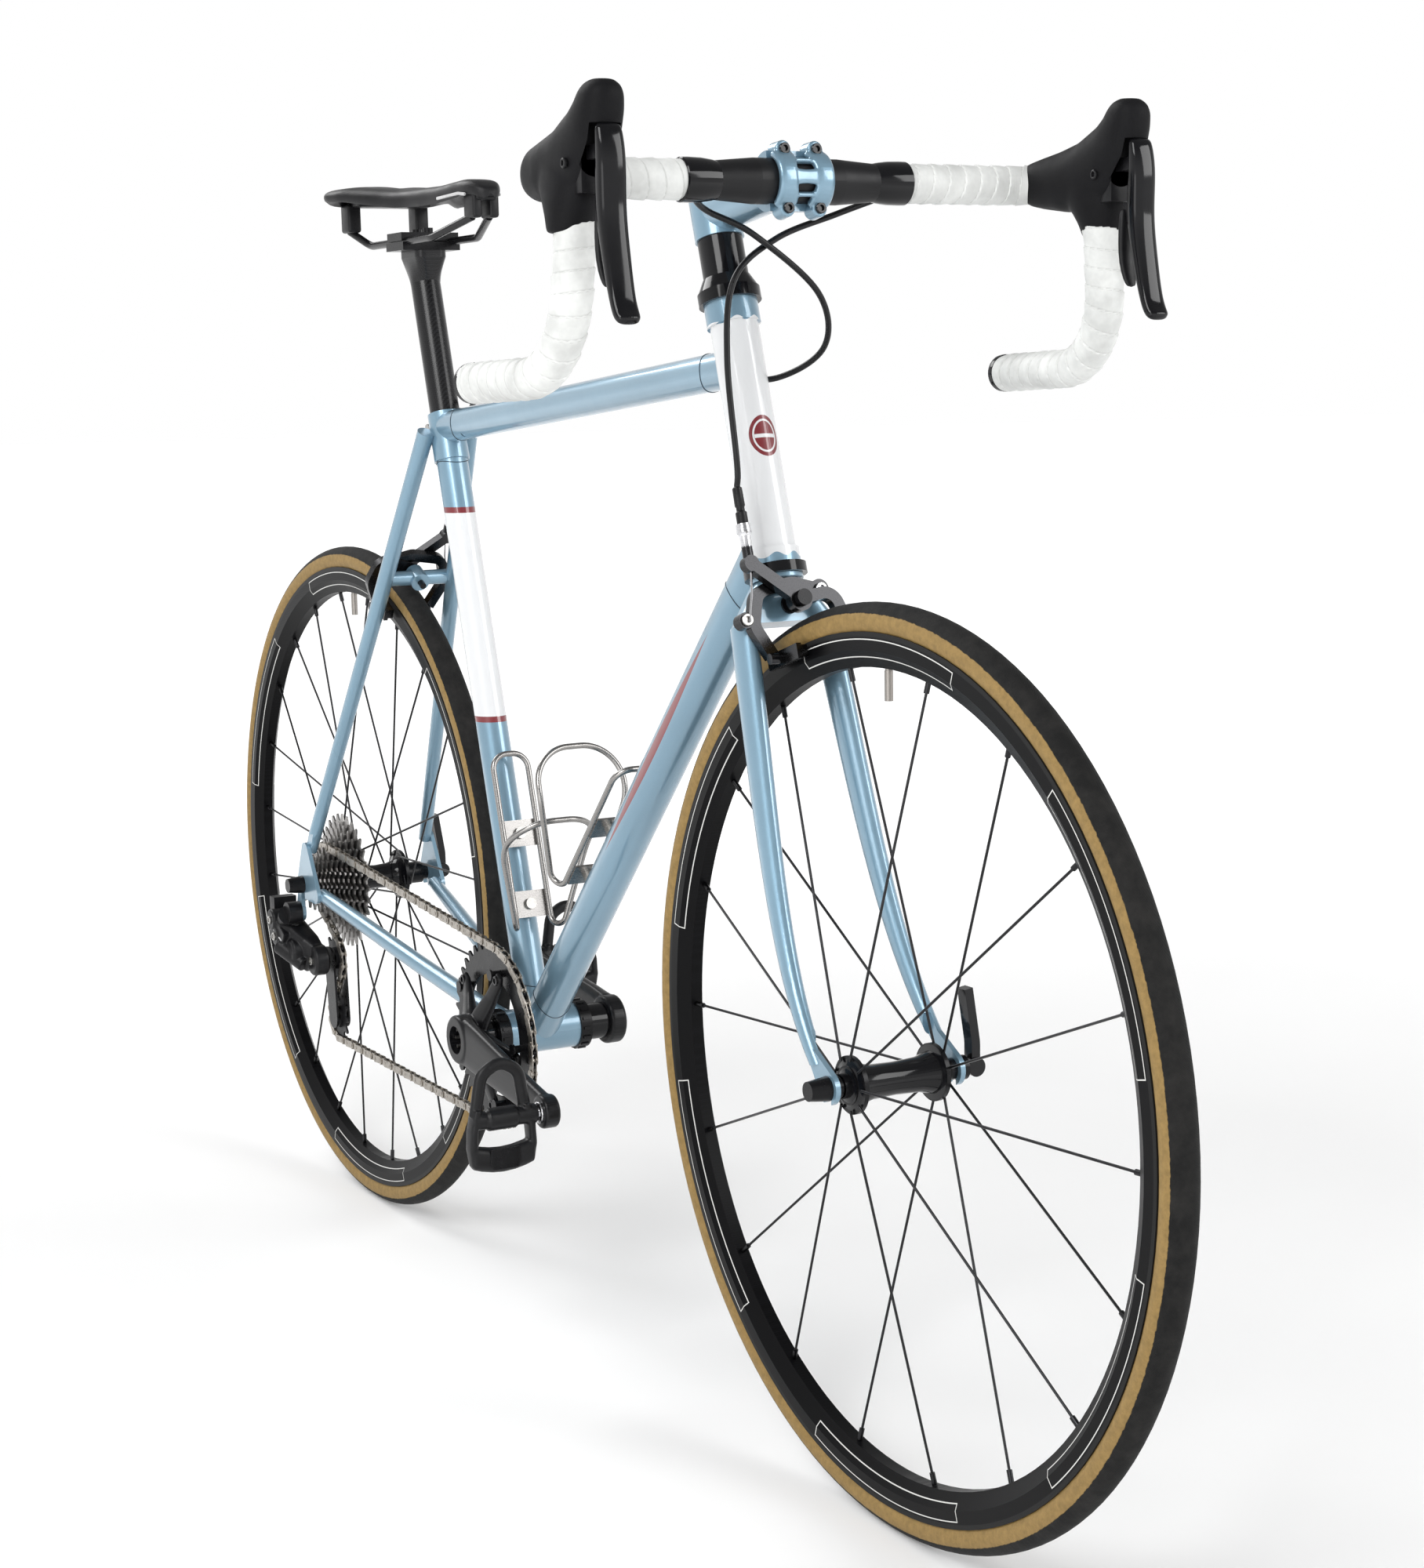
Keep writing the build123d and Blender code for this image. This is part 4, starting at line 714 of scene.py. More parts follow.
def make_saddle():
    bm = bmesh.new()
    rows = []
    for k in range(44):
        x = 108 + (366 - 108) * k / 43
        w, top = saddle_width(x), saddle_top(x)
        skirt = interpolate(((108, 12), (140, 15), (200, 18), (260, 19), (330, 17), (366, 10)), x)
        notch = 9 * max(0.0, 1 - (x - 108) / 22)
        row = []
        for j in range(21):
            u = -1 + 2 * j / 20
            y = w * math.sin(u * math.pi / 2)
            groove = 1.6 * math.exp(-((y / 7) ** 2)) * interpolate(((108, 0), (130, 1), (300, 1), (335, 0),
                                                                    (366, 0)), x)
            z = top - skirt * 0.62 * abs(u) ** 3.4 - groove
            row.append(Vector((x + notch * math.exp(-((y / 16) ** 2)), y, z)))
        for j in range(13):
            u = 1 - 2 * j / 12
            y = (w - 1.5) * u
            z = top - skirt + (skirt - 8) * (1 - abs(u) ** 3)
            row.append(Vector((x + notch * math.exp(-((y / 16) ** 2)), y, z)))
        rows.append(row)
    loft(bm, rows)
    cover = piece("saddle_top_cover", bm, "leather", "frame", ("saddle_cover",), subdivide=1)
    bm = bmesh.new()
    for side in (1, -1):
        block(bm, (344, side * 8, 981), (22, 9, 22))
        block(bm, (122, side * 34, 983), (20, 13, 26))
    block(bm, (136, 0, 996), (26, 74, 7))
    block(bm, (345, 0, 989), (24, 20, 9))
    piece("saddle_rail_sockets", bm, "plastic", "frame", bevel=2.5)
    bm = bmesh.new()
    for side in (1, -1):
        path = [Vector((x, side * (saddle_width(x) + 0.15),
                        saddle_top(x) - 12.5)) for x in range(296, 350, 3)]
        sweep(bm, path, lambda s, t: 0.9 + 0.5 * abs(math.sin(t)), 8)
    piece("saddle_side_marks", bm, "mark", "frame")


# ---------------------------------------------------------------- bar, tape and hoods
BAR_RADII = (34, 44, 58)


def bar_route(side):
    return [(881.5, 84 * side, 961), (881.5, 205 * side, 961), (962, 208 * side, 958),
            (956, 217 * side, 829), (819.5, 223.6 * side, 826)]


def wrapped(pitch, turn_hand, phase, shares):
    """Radius of tape wound with an overlap; the place within each turn is kept for the shader, which paints
    shade along the seam.
    """
    def radius(distance, angle):
        share = (distance / pitch + turn_hand * angle / (2 * math.pi) + phase) % 1.0
        shares.append(share)
        lip = 1.1 * (1 - share) ** 0.7
        return 13.3 + lip + 0.12 * math.sin(distance * 0.31 + 3 * angle)
    return radius


def make_tape():
    bm = bmesh.new()
    shares = []
    for side in (1, -1):
        path = fillet_path(bar_route(side), BAR_RADII, 0.9)
        path = [p for p in path if abs(p.y) > 88]
        sweep(bm, path, wrapped(13.5, side, 0.2, shares), 44)
    wraps = piece("bar_tape_wraps", bm, "tape", "steering", ("bar_tape",))
    seam = wraps.data.attributes.new("seam", "FLOAT", "POINT")
    seam.data.foreach_set("value", shares)
    bm = bmesh.new()
    for side in (1, -1):
        lathe(bm, (881.5, 64 * side, 961), Vector((0, side, 0)),
              ((0, 13.4), (4, 14.2), (12, 15.2), (22, 15.5), (27, 15.4), (27.8, 14.6)))
        end = Vector((819.5, 223.6 * side, 826))
        away = (end - Vector((956, 217 * side, 829))).normalized()
        lathe(bm, end - away * 1.0, away, ((0, 14.2), (2.6, 14.3), (4.2, 12.4), (4.6, 6.0)))
    piece("tape_end_bands", bm, "gloss", "steering")


HOOD = ((890, 201, 961, 15.4, 15.6), (903, 204, 961, 17.5, 18.5), (925, 206, 961, 18.5, 22),
        (948, 207, 963, 18, 25),
        (968, 207.5, 970, 17.2, 26), (984, 207.3, 984, 16.2, 22), (991.5, 207, 996, 15.4, 17.5),
        (994.5, 206.8, 1004, 14.2, 15.4),
        (996, 206.5, 1009, 11.6, 12.4), (996.5, 206.4, 1012.5, 6.5, 7))
HOOD_TILT = (0, 0, 0.05, 0.12, 0.45, 0.95, 1.25, 1.4, 1.45, 1.5)


def make_hoods():
    for side, word in ((1, "left"), (-1, "right")):
        bm = bmesh.new()
        rows = []
        for (x, y, z, wide, high), tilt in zip(HOOD, HOOD_TILT):
            up = Vector((-math.sin(tilt), 0, math.cos(tilt)))
            rows.append(ring((x, y * side, z), ACROSS, up, wide, high, 32, 2.3))
        loft(bm, rows)
        skirt = []
        for x, y, z, wide, long in ((946, 207, 962, 18, 30), (951, 208.5, 950, 18.6, 27.5),
                                    (955, 210.5, 939, 18, 22.5),
                                    (957, 212, 930, 16.8, 18), (957, 213, 923, 15.4, 15.6),
                                    (956.8, 213.6, 919.5, 14.6, 14.7)):
            skirt.append(ring((x, y * side, z), ACROSS, Vector((1, 0, 0)), wide, long, 32, 2.1))
        loft(bm, skirt)
        slot = bmesh.new()
        block(slot, (1011, 208 * side, 948), (52, 21.6, 74))
        piece(f"hood_{word}", bm, "rubber", "steering",
              ("lever_hoods",) if side > 0 else (), voxel=1.2, smooth=30, cut=[cutter(slot)])
        bm = bmesh.new()
        for face in (1, -1):
            cap_screw(bm, (975, side * 208 + face * 15.6, 962), Vector((0, face, 0)), 3.4, 2.4)
        cylinder(bm, (975, side * 208 - 12, 971), (975, side * 208 + 12, 971), 2.0)
        block(bm, (978, side * 208, 958), (14, 19, 30))
        piece(f"lever_pivot_{word}", bm, "plastic", "steering", bevel=0.4)
        make_lever(side, word)


LEVER = ((1004, 985, 8.2, 3.4, 0.05), (1006, 981, 9.4, 5.0, 0.05), (1008.5, 964, 10.0, 6.4, 0.0),
         (1007, 946, 10.0, 7.2, -0.05),
         (1007, 928, 9.8, 7.0, 0.08), (1011, 908, 9.6, 6.2, 0.22), (1016, 887, 9.2, 5.2, 0.3),
         (1020.5, 872, 8.8, 4.8, 0.42),
         (1025.5, 863.5, 9.2, 4.4, 0.8), (1030.5, 861, 7.0, 3.2, 1.0))


def make_lever(side, word):
    bm = bmesh.new()
    rows = []
    for x, z, wide, deep, tilt in LEVER:
        out = Vector((math.cos(tilt), 0, math.sin(tilt)))
        rows.append(ring((x, 208 * side, z), ACROSS, out, wide, deep, 28, 2.7))
    loft(bm, rows)
    piece(f"brake_blade_{word}", bm, "gloss", f"brake_lever_{word}_body", (f"lever_{word}",),
          subdivide=2)
    bm = bmesh.new()
    cylinder(bm, (975, 208 * side - 6.6, 971), (975, 208 * side + 6.6, 971), 5.6, chamfer=0.6)
    block(bm, (991, 208 * side, 968), (30, 11, 9))
    block(bm, (996, 208 * side, 935), (12, 6, 14))
    piece(f"brake_blade_root_{word}", bm, "plastic", f"brake_lever_{word}_body", bevel=1.2)
    bm = bmesh.new()
    rows = []
    for z, x, wide, deep in ((938, 991, 4.0, 2.4), (930, 992, 5.6, 2.8), (915, 992, 6.4, 2.8),
                             (900, 993, 6.4, 2.6), (888, 997, 5.4, 2.4), (883, 999, 3.4, 1.6)):
        rows.append(ring((x, 206.5 * side, z), ACROSS, Vector((1, 0, 0.15)), wide, deep, 20, 2.6))
    loft(bm, rows)
    piece(f"shift_paddle_{word}", bm, "plastic", f"shift_paddle_{word}_body",
          (f"paddle_{word}",), subdivide=1)


# ---------------------------------------------------------------- stem plate
def make_faceplate():
    forward = Vector((0.993, 0, 0.1177))
    up = Vector((-0.1177, 0, 0.993))

    def wall(angle, y, radius):
        return BAR + ACROSS * y + (forward * math.cos(angle) + up * math.sin(angle)) * radius

    bm = bmesh.new()
    for side in (1, -1):
        rows = []
        for k in range(17):
            angle = math.radians(-66 + 132 * k / 16)
            bow = 1.5 * math.cos(angle * 1.35) ** 2
            middle = side * (13.5 + bow)
            radial = forward * math.cos(angle) + up * math.sin(angle)
            rows.append(ring(wall(angle, middle, 18.8), ACROSS, radial, 8.6 - bow, 3.2, 20, 3.0))
        loft(bm, rows)
        for high in (1, -1):
            seat = BAR + ACROSS * (13 * side) + up * (20.5 * high)
            cylinder(bm, seat - forward * 1, seat + forward * 11.5, 6.6, 6.0, chamfer=0.8)
    for low, high_ in ((-15, 15), (34, 43), (-43, -34)):
        rows = []
        for y in range(-12, 13, 3):
            angle = math.radians((low + high_) / 2)
            half = math.radians((high_ - low) / 2) * 18.6 * (1 + 0.35 * (y / 12) ** 2)
            radial = forward * math.cos(angle) + up * math.sin(angle)
            tangent = up * math.cos(angle) - forward * math.sin(angle)
            rows.append(ring(wall(angle, y, 18.4), tangent, radial, half, 2.3, 20, 3.0))
        loft(bm, rows)
    bar = bmesh.new()
    cylinder(bar, BAR - ACROSS * 40, BAR + ACROSS * 40, 16.05, count=64)
    piece("stem_ladder_plate", bm, "blue", "steering", ("stem_faceplate",), voxel=0.7,
          smooth=3, cut=[cutter(bar)])
    bm = bmesh.new()
    for side in (1, -1):
        for high in (1, -1):
            seat = BAR + ACROSS * (13 * side) + up * (20.5 * high) + forward * 10.2
            cap_screw(bm, seat, forward, 4.0, 3.6)
    piece("stem_plate_screws", bm, "gloss", "steering")


# ---------------------------------------------------------------- cables
FRONT_CABLE = ((870, 76, 951), (852, 52, 941), (845, 6, 924), (846, -30, 895), (850, -39, 840),
               (858, -37, 765))
REAR_LOOP = ((870, -76, 951), (856, -56, 942), (852, -16, 926), (846, 40, 886), (824, 58, 848),
             (786, 40, 826), (748, 9, 826))
REAR_BACK = ((290, 6, 801), (272, 20, 818), (232, 33, 806))
REAR_X, REAR_Y, REAR_Z = Vector((0, -1, 0)), Vector((0.4685, 0, 0.8834)), Vector((-0.8834, 0, 0.4685))
REAR_BASE = Vector((166, 0, 649))


def front_brake_at(x, y, z):
    return steer(352) + ACROSS * x + AXIS * y + AHEAD * z


def rear_brake_at(x, y, z):
    return REAR_BASE + REAR_X * x + REAR_Y * y + REAR_Z * z


def make_cables():
    stop = front_brake_at(-36, 59, 27)
    bm = bmesh.new()
    sweep(bm, curve_path(list(FRONT_CABLE) + [stop + AXIS * 24, stop]), 2.3, 16)
    front = piece("front_brake_hose", bm, "cable", None, ("front_brake_cable",))
    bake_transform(front)
    bm = bmesh.new()
    sweep(bm, curve_path(list(REAR_LOOP) + [(741, 4.5, 826)]), 2.3, 16)
    loop = piece("rear_brake_hose_front", bm, "cable", None, ("rear_brake_cable_front",))
    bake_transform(loop)
    rear_stop = rear_brake_at(-36, 59, 27)
    bm = bmesh.new()
    sweep(bm, curve_path([(300, 1, 795)] + list(REAR_BACK) + [rear_stop + REAR_Y * 22, rear_stop]), 2.3, 16)
    back = piece("rear_brake_hose_back", bm, "cable", None, ("rear_brake_cable_back",))
    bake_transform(back)
    for word, at, up, body in (("front", front_brake_at, AXIS, "front_centre_arm_body"),
                               ("rear", rear_brake_at, REAR_Y, "rear_centre_arm_body")):
        bm = bmesh.new()
        top = at(-36, 59, 27)
        lathe(bm, top + up * 26, -up, ((0, 2.6), (1, 3.6), (14, 3.8), (15, 3.1), (18, 3.1), (19, 4.2),
                                       (27, 4.2), (28, 3.2)))
        piece(f"{word}_brake_ferrule", bm, "plastic", body)
        bm = bmesh.new()
        lathe(bm, top - up * 1, -up, ((0, 3.0), (0.6, 5.4), (7, 5.6), (8, 4.6), (10, 4.2), (18, 4.0)), 24)
        piece(f"{word}_brake_adjuster", bm, "silver", body)
        bm = bmesh.new()
        sweep(bm, [at(-36, 45, 27), at(-36, 20, 27), at(-38, 6, 26.5), at(-43, -14, 25.4)], 0.8, 8)
        piece(f"{word}_brake_inner_wire", bm, "silver", body)


# ---------------------------------------------------------------- chain
CHAIN_PITCH = 12.7
CHAIN_LINE = -42


def pitch_radius(teeth):
    return CHAIN_PITCH / 2 / math.sin(math.pi / teeth)


def touch(first, second):
    (ax, az), r1, h1 = first
    (bx, bz), r2, h2 = second
    distance = math.hypot(bx - ax, bz - az)
    angle = math.atan2(bz - az, bx - ax) + math.acos((h2 * r2 - h1 * r1) / distance)
    nx, nz = math.cos(angle), math.sin(angle)
    return (ax - h1 * r1 * nx, az - h1 * r1 * nz), (bx - h2 * r2 * nx, bz - h2 * r2 * nz)


def chain_path():
    wheels = [((404, 256), pitch_radius(40), 1), ((0, 336), pitch_radius(18), 1),
              ((12, 259), pitch_radius(11), -1), ((17, 199), pitch_radius(11), 1)]
    runs = [touch(wheels[k], wheels[(k + 1) % 4]) for k in range(4)]
    dense = []
    for k in range(4):
        start, end = runs[k]
        dense += [Vector((start[0], CHAIN_LINE, start[1])), Vector((end[0], CHAIN_LINE, end[1]))]
        (cx, cz), radius, hand = wheels[(k + 1) % 4]
        a = math.atan2(end[1] - cz, end[0] - cx)
        nxt = runs[(k + 1) % 4][0]
        b = math.atan2(nxt[1] - cz, nxt[0] - cx)
        sweep_angle = (b - a) % (2 * math.pi) if hand > 0 else -((a - b) % (2 * math.pi))
        for j in range(1, 40):
            t = a + sweep_angle * j / 40
            dense.append(Vector((cx + radius * math.cos(t), CHAIN_LINE, cz + radius * math.sin(t))))
    dense.append(dense[0])
    return dense


def make_chain():
    dense = chain_path()
    total = sum((b - a).length for a, b in zip(dense, dense[1:]))
    count = 2 * round(total / CHAIN_PITCH / 2)
    pins = resample(dense, total / count)[:-1]
    bm = bmesh.new()
    for k, pin in enumerate(pins):
        after = pins[(k + 1) % len(pins)]
        along = (after - pin).normalized()
        up = ACROSS.cross(along)
        inner = k % 2
        for face in (1, -1):
            near, far = (1.2, 2.0) if inner else (2.05, 2.85)
            outline = []
            for j in range(24):
                t = 2 * math.pi * j / 24
                end = 1 if math.cos(t) > 0 else -1
                x = (after - pin).length / 2 * (1 + end) + 4.1 * math.cos(t)
                waist = 1.0 if abs(math.cos(t)) > 0.15 else 0.74
                outline.append(pin + along * x + up * (4.1 * math.sin(t) * waist))
            loft(bm, [[p + ACROSS * (face * near) for p in outline],
                      [p + ACROSS * (face * far) for p in outline]])
            cylinder(bm, pin + ACROSS * (face * 2.8), pin + ACROSS * (face * 3.15), 1.7, count=10)
        cylinder(bm, pin - ACROSS * 1.1, pin + ACROSS * 1.1, 2.0, count=10)
    piece("chain_links", bm, "chain", "frame", ("chain",))


# ---------------------------------------------------------------- cranks and pedals
CRANK_ENDS = {-1: Vector((576.8, 0, 228.6)), 1: Vector((231.2, 0, 283.4))}


def make_cranks():
    for side, word in ((-1, "right"), (1, "left")):
        end = CRANK_ENDS[side]
        along = (end - BB).normalized()
        flank = along.cross(ACROSS)
        bm = bmesh.new()
        rows = []
        for s, half, thick, y in ((-6, 20, 7, 72), (8, 22, 7.4, 72.3), (35, 21, 6.8, 72.8),
                                  (70, 18.8, 6.4, 73.2),
                                  (110, 16.4, 6.2, 73.3), (150, 14.2, 6.3, 73.3), (175, 13.2, 6.4, 73.3),
                                  (184, 9.5, 6.0, 73.3)):
            rows.append(ring(BB + along * s + ACROSS * (side * y), flank, ACROSS, half, thick, 28, 3.2))
        loft(bm, rows)
        cylinder(bm, BB + ACROSS * (side * 64.5), BB + ACROSS * (side * 80.5), 22, chamfer=2)
        cylinder(bm, end + ACROSS * (side * 66.5), end + ACROSS * (side * 80.2), 14.2, chamfer=1.5)
        if side < 0:
            for k in range(5):
                turn = Quaternion(ACROSS, 2 * math.pi * k / 5)
                out = turn @ along
                flat = out.cross(ACROSS)
                legs = []
                for r, wide, y, thick in ((8, 13, 62, 6.5), (24, 11, 58.5, 6), (44, 7.6, 52.5, 4),
                                          (60, 6.6, 49.2, 2.9), (67, 4.8, 49.0, 2.6)):
                    legs.append(ring(BB + out * r + ACROSS * (side * y), flat, ACROSS, wide, thick, 20, 3.0))
                loft(bm, legs)
        hole = bmesh.new()
        cylinder(hole, BB + ACROSS * (side * 70), BB + ACROSS * (side * 90), 12.6)
        seat = bmesh.new()
        cylinder(seat, end + ACROSS * (side * 60), end + ACROSS * (side * 90), 6.9)
        piece(f"crank_arm_{word}", bm, "carbon", "crankset", (f"crank_{word}",), voxel=1.0,
              smooth=4,
              cut=[cutter(hole), cutter(seat)])
        bm = bmesh.new()
        cylinder(bm, end + ACROSS * (side * 66.9), end + ACROSS * (side * 80.4), 7.4, count=32)
        for k in range(8):
            spot = BB + Quaternion(ACROSS, k * math.pi / 4) @ Vector((10.4, 0, 0))
            cylinder(bm, spot + ACROSS * (side * 70), spot + ACROSS * (side * 75.5), 1.6, count=10)
        piece(f"crank_inserts_{word}", bm, "parts", "crankset")
    bm = bmesh.new()
    cylinder(bm, BB - ACROSS * 71, BB + ACROSS * 71, 11.9)
    cylinder(bm, BB + ACROSS * 45, BB + ACROSS * 66, 16.4, chamfer=1)
    cylinder(bm, BB - ACROSS * 66, BB - ACROSS * 45, 15.0, chamfer=1)
    piece("crank_spindle", bm, "gloss", "crankset")
    bm = bmesh.new()
    for k in range(5):
        turn = Quaternion(ACROSS, 2 * math.pi * k / 5)
        out = turn @ (CRANK_ENDS[-1] - BB).normalized()
        cap_screw(bm, BB + out * 62 - ACROSS * 51.4, -ACROSS, 4.6, 1.8)
    piece("chainring_screws", bm, "gloss", "crankset")


def make_pedals():
    for side, word in ((-1, "right"), (1, "left")):
        end = CRANK_ENDS[side]
        centre = end + ACROSS * (side * 115)

        def at(y, z, x=-1.5):
            return centre + Vector((x, y * side, z))

        bm = bmesh.new()
        loop = fillet_path([at(-22, 4), at(-17, 38), at(0, 49), at(17, 38), at(23, 4)], (14, 16, 14), 3)
        sweep(bm, loop, lambda s, t: 4.4 + 1.2 * abs(math.cos(t)) ** 3, 16)
        for edge in (-1, 1):
            rows = [ring(at(edge * y, z), Vector((1, 0, 0)), ACROSS, deep, 3.6, 16, 3) for y, z,
                    deep in ((22, 10, 6.5), (26, -8, 7.5), (27, -24, 7), (25, -38, 5.5))]
            loft(bm, rows)
        rows = [ring(at(y, -30 - 0.007 * (27 * 27 - y * y)), Vector((1, 0, 0)), Vector((0, 0, 1)), 7.4,
                     10.5, 20, 3) for y in (-27, -20, -10, 0, 10, 20, 27)]
        loft(bm, rows)
        cylinder(bm, at(-32, 0), at(27, 0), 8.2, 7.4, chamfer=1)
        cylinder(bm, at(-14, 0), at(14, 0), 9.6, chamfer=2)
        hole = bmesh.new()
        cylinder(hole, at(-60, 0, 0), at(-10, 0, 0), 4.9)
        piece(f"pedal_body_{word}", bm, "plastic", f"pedal_{word}_body",
              (f"pedal_{word}",), voxel=0.9, smooth=3, cut=[cutter(hole)])
        bm = bmesh.new()
        rows = [ring(at(0, z, 6.2), ACROSS, Vector((1, 0, 0)), half, 1.0, 16, 4) for z,
                half in ((-24, 13), (-36, 14), (-41, 12))]
        loft(bm, rows)
        piece(f"pedal_plate_{word}", bm, "anodised", f"pedal_{word}_body")
        bm = bmesh.new()
        cylinder(bm, end + ACROSS * (side * 66), end + ACROSS * (side * 112), 4.6)
        cylinder(bm, end + ACROSS * (side * 80.2), end + ACROSS * (side * 82.2), 9.2, chamfer=0.4)
        piece(f"pedal_axle_{word}", bm, "silver", "crankset")


# ---------------------------------------------------------------- hubs
def make_hubs():
    for word, x, marks in (("front", 1000, ((-34, 20.5), (34, 20.5))),
                           ("rear", 0, ((-17, 27.5), (36, 24.5)))):
        bm = bmesh.new()
        (y1, r1), (y2, r2) = marks
        base = Vector((x, 0, 336))
        profile = ((y1 - 4.5, 11.5), (y1 - 3.5, 13), (y1 - 1.9, r1 - 4), (y1 - 1.5, r1 - 0.4),
                   (y1 - 1.0, r1), (y1 + 1.2, r1), (y1 + 1.7, r1 - 0.5),
                   (y1 + 2.2, r1 - 5), (y1 + 7, 14.5), (y1 + 14, 12.6), ((y1 + y2) / 2, 11.8),
                   (y2 - 14, 12.6), (y2 - 7, 14.5), (y2 - 2.2, r2 - 5),
                   (y2 - 1.7, r2 - 0.5), (y2 - 1.2, r2), (y2 + 1.0, r2), (y2 + 1.5, r2 - 0.4),
                   (y2 + 1.9, r2 - 4), (y2 + 3.5, 13), (y2 + 4.5, 11.5))
        lathe(bm, base, ACROSS, profile, 48)
        piece(f"{word}_hub_shell", bm, "gloss", f"{word}_wheel")


def make_derailleur():
    bm = bmesh.new()
    start, end = Vector((-42, -79, 290)), Vector((6, -62, 262))
    along = (end - start).normalized()
    up = Vector((0.5, 0.05, 0.86))
    deep = along.cross(up).normalized()
    rows = []
    for s, tall, wide, lift in ((-7, 11, 9, 0), (1, 17, 12.5, 0), (16, 19, 14.5, 0), (32, 17.5, 13.5, 0),
                                (46, 18.5, 12, -1), (57, 18, 9, -2), (62, 12, 6.5, -2)):
        rows.append(ring(start + along * s + up * lift, up, deep, tall, wide, 24, 3.6))
    loft(bm, rows)
    cylinder(bm, (-38, -92, 296), (-38, -66, 296), 11, chamfer=1.5)
    cylinder(bm, (-30, -91, 280), (-30, -68, 280), 10, chamfer=1.5)
    cylinder(bm, (12, -68, 259), (12, -52.5, 259), 15.5, chamfer=2)
    cylinder(bm, (-14, -72, 302), (-40, -80, 292), 9.5, 11)
    block(bm, (-22, -86, 286), (26, 6, 12), Matrix.Rotation(0.5, 4, "Y"))
    block(bm, (-12, -76, 262), (20, 9, 12), Matrix.Rotation(0.55, 4, "Y"))
    cylinder(bm, (-6, -84, 268), (-6, -60, 268), 12, chamfer=2)
    cylinder(bm, (-24, -88, 272), (4, -72, 254), 9, 8, chamfer=1)
    piece("derailleur_motor_body", bm, "plastic", "frame", ("derailleur_body",), voxel=0.8,
          smooth=3)
    bm = bmesh.new()
    for x, z, y in ((-38, 296, -92.2), (-30, 280, -91.2), (12, 259, -68.2)):
        cap_screw(bm, (x, y, z), -ACROSS, 4.2, 1.6)
    piece("derailleur_screws", bm, "parts", "frame")
    bm = bmesh.new()
    path = [Vector((-36 + 3 * k, -90.6 + 0.25 * k, 288 - 1.5 * k)) for k in range(8)]
    sweep(bm, path, 0.9, 8)
    piece("derailleur_pale_mark", bm, "mark", "frame")


def make_cup_ribs():
    """Splined tool rings on both bottom bracket cups."""
    bm = bmesh.new()
    for side in (1, -1):
        for k in range(16):
            turn = Quaternion(ACROSS, 2 * math.pi * k / 16)
            spot = BB + turn @ Vector((21.4, 0, 0)) + ACROSS * (side * 39.5)
            block(bm, spot, (3.4, 7.0, 2.6), turn.to_matrix().to_4x4())
        lathe(bm, BB + ACROSS * (side * 34.2), ACROSS * side,
              ((0, 20.2), (0.6, 21.9), (2.0, 21.9), (2.6, 20.6), (8.4, 20.6), (9.0, 21.6), (10.4, 21.4),
               (11, 19)))
    piece("bottom_bracket_splines", bm, "anodised", "frame")


def make_lug_lines():
    """Thin shadow lines where the lugs end on the tubes."""
    seat = Vector((-0.27564, 0, 0.96126))
    down = Vector((0.6956, 0, 0.7184))
    top = Vector((548.6, 0, 44.2)).normalized()
    bm = bmesh.new()
    for base, along, radius, wave in ((BB + down * 46, down, 17.55, 4), (BB + seat * 40, seat, 14.35, 3),
                                      (BB + seat * 521, seat, 14.35, 2),
                                      (Vector((252, 0, 790)) + top * 36, top, 14.35, 4),
                                      (Vector((800.6, 0, 834.2)) - top * 42, top, 14.35, 4),
                                      (Vector((838.7, 0, 705)) - down * 52, down, 17.55, 4)):
        _, u, v = frame_of(along)
        path = []
        for k in range(48):
            t = 2 * math.pi * k / 48
            around = (u * math.cos(t) + v * math.sin(t)) * radius
            path.append(base + around + along * (wave * math.cos(2 * t)))
        sweep(bm, path, 0.45, 6, closed=True)
    piece("lug_edge_lines", bm, "lug", "frame")


ROUNDED = {"derailleur_mount": 1.4, "derailleur_cage": 0.5, "saddle_clamp": 0.8,
           "front_brake_centre_arm": 1.2,
           "front_brake_offset_arm": 1.2, "rear_brake_centre_arm": 1.2, "rear_brake_offset_arm": 1.2,
           "headset_cups": 1.2,
           "front_skewer_lever": 0.8, "rear_skewer_lever": 0.8, "stem": 0.6, "fork_crown": 1.2,
           "fork_blades": 0.6, "front_axle": 0.6,
           "rear_axle": 0.6, "headset_spacers": 0.4, "bottom_bracket_cups": 0.4, "chainring": 0.2}


def round_cad_edges():
    for name, width in ROUNDED.items():
        modifier = NODES[name].modifiers.new("edge", "BEVEL")
        modifier.width = width * MM
        modifier.segments = 2
        modifier.limit_method = "ANGLE"
        modifier.angle_limit = math.radians(42)
        modifier.use_clamp_overlap = True


def make_brake_details():
    for word, at, out in (("front", front_brake_at, AHEAD), ("rear", rear_brake_at, REAR_Z)):
        bm = bmesh.new()
        cap_screw(bm, at(0, 0, 31.2), out, 5.2, 4.0)
        piece(f"{word}_brake_nut", bm, "silver", f"{word}_centre_arm_body")
        bm = bmesh.new()
        cap_screw(bm, at(22, 8, 22.2), out, 4.4, 3.0)
        piece(f"{word}_brake_pivot_cap", bm, "silver", f"{word}_offset_arm_body")
        bm = bmesh.new()
        cap_screw(bm, at(-44, -12, 22.2), out, 4.6, 4.0)
        piece(f"{word}_brake_anchor", bm, "parts", f"{word}_offset_arm_body")


# ---------------------------------------------------------------- set
FLOOR_HALF = 60.0


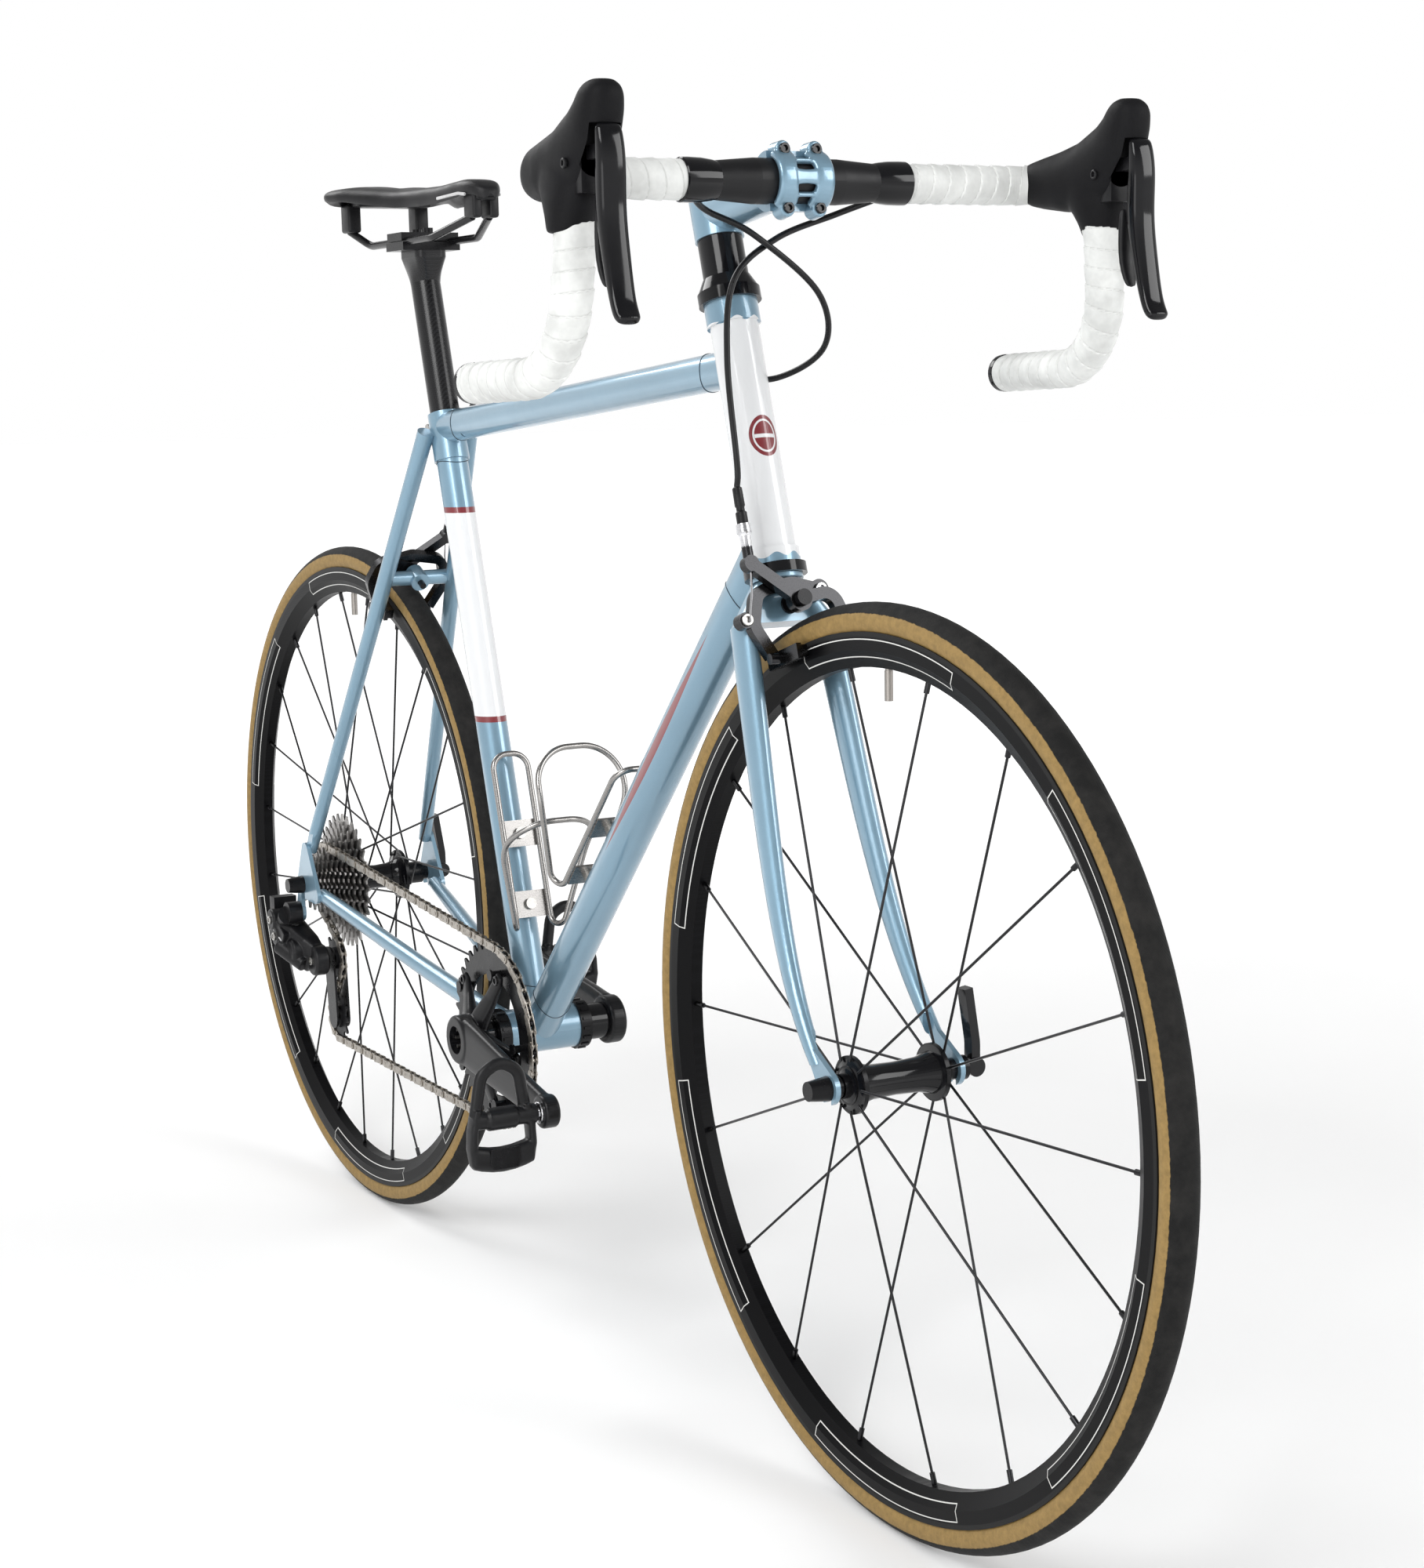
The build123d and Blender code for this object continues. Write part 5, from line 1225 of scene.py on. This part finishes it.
def make_set():
    mesh = bpy.data.meshes.new("floor")
    size = FLOOR_HALF
    mesh.from_pydata([(-size, -size, 0), (size, -size, 0), (size, size, 0), (-size, size, 0)], [],
                     [(0, 1, 2, 3)])
    floor = bpy.data.objects.new("floor", mesh)
    bpy.context.scene.collection.objects.link(floor)
    g = Graph("floor_paper")
    at = g.coords()
    x, y, _ = g.parts(at)
    far = g.length(g.minus(x, 0.5), y)
    g.set(color=g.mix(g.noise(at, 3.0), (0.86, 0.86, 0.86), (0.9, 0.9, 0.9)), rough=0.9)
    g.shader.inputs["Emission Color"].default_value = (1, 1, 1, 1)
    g.put(g.shader.inputs["Emission Strength"], g.span(far, 1.0, 4.5, 0.1, 0.75))
    floor.data.materials.append(g.material)
    world = bpy.data.worlds.new("studio")
    bpy.context.scene.world = world
    world.use_nodes = True
    tree = world.node_tree
    back = tree.nodes["Background"]
    direction = tree.nodes.new("ShaderNodeTexCoord")
    split = tree.nodes.new("ShaderNodeSeparateXYZ")
    height = tree.nodes.new("ShaderNodeMapRange")
    tree.links.new(direction.outputs["Generated"], split.inputs[0])
    tree.links.new(split.outputs[2], height.inputs["Value"])
    for key, number in (("From Min", 0.18), ("From Max", 0.55), ("To Min", 1.0), ("To Max", 0.3)):
        height.inputs[key].default_value = number
    back.inputs["Color"].default_value = (1, 1, 1, 1)
    tree.links.new(height.outputs[0], back.inputs["Strength"])
    lights = (
        ("key", (2.6, -3.2, 3.6), 2.2, 120.0),
        ("side", (3.4, 2.4, 2.2), 1.8, 55.0),
        ("back", (-2.4, -1.0, 3.2), 2.0, 70.0),
        ("low", (2.4, -2.6, 0.6), 1.4, 14.0),
    )
    for name, place, width, power in lights:
        data = bpy.data.lights.new(name, "AREA")
        data.size = width
        data.energy = power
        light = bpy.data.objects.new(name, data)
        bpy.context.scene.collection.objects.link(light)
        light.location = place
        light.rotation_mode = "QUATERNION"
        light.rotation_quaternion = (Vector((0.5, 0, 0.5)) - Vector(place)).to_track_quat("-Z", "Y")
    view = bpy.context.scene.view_settings
    view.view_transform = "Standard"


make_camera()
make_materials()
dress_cad()
round_cad_edges()
make_saddle()
make_tape()
make_hoods()
make_faceplate()
make_cables()
make_chain()
make_cranks()
make_pedals()
make_hubs()
make_derailleur()
make_lug_lines()
make_cup_ribs()
make_brake_details()
make_set()
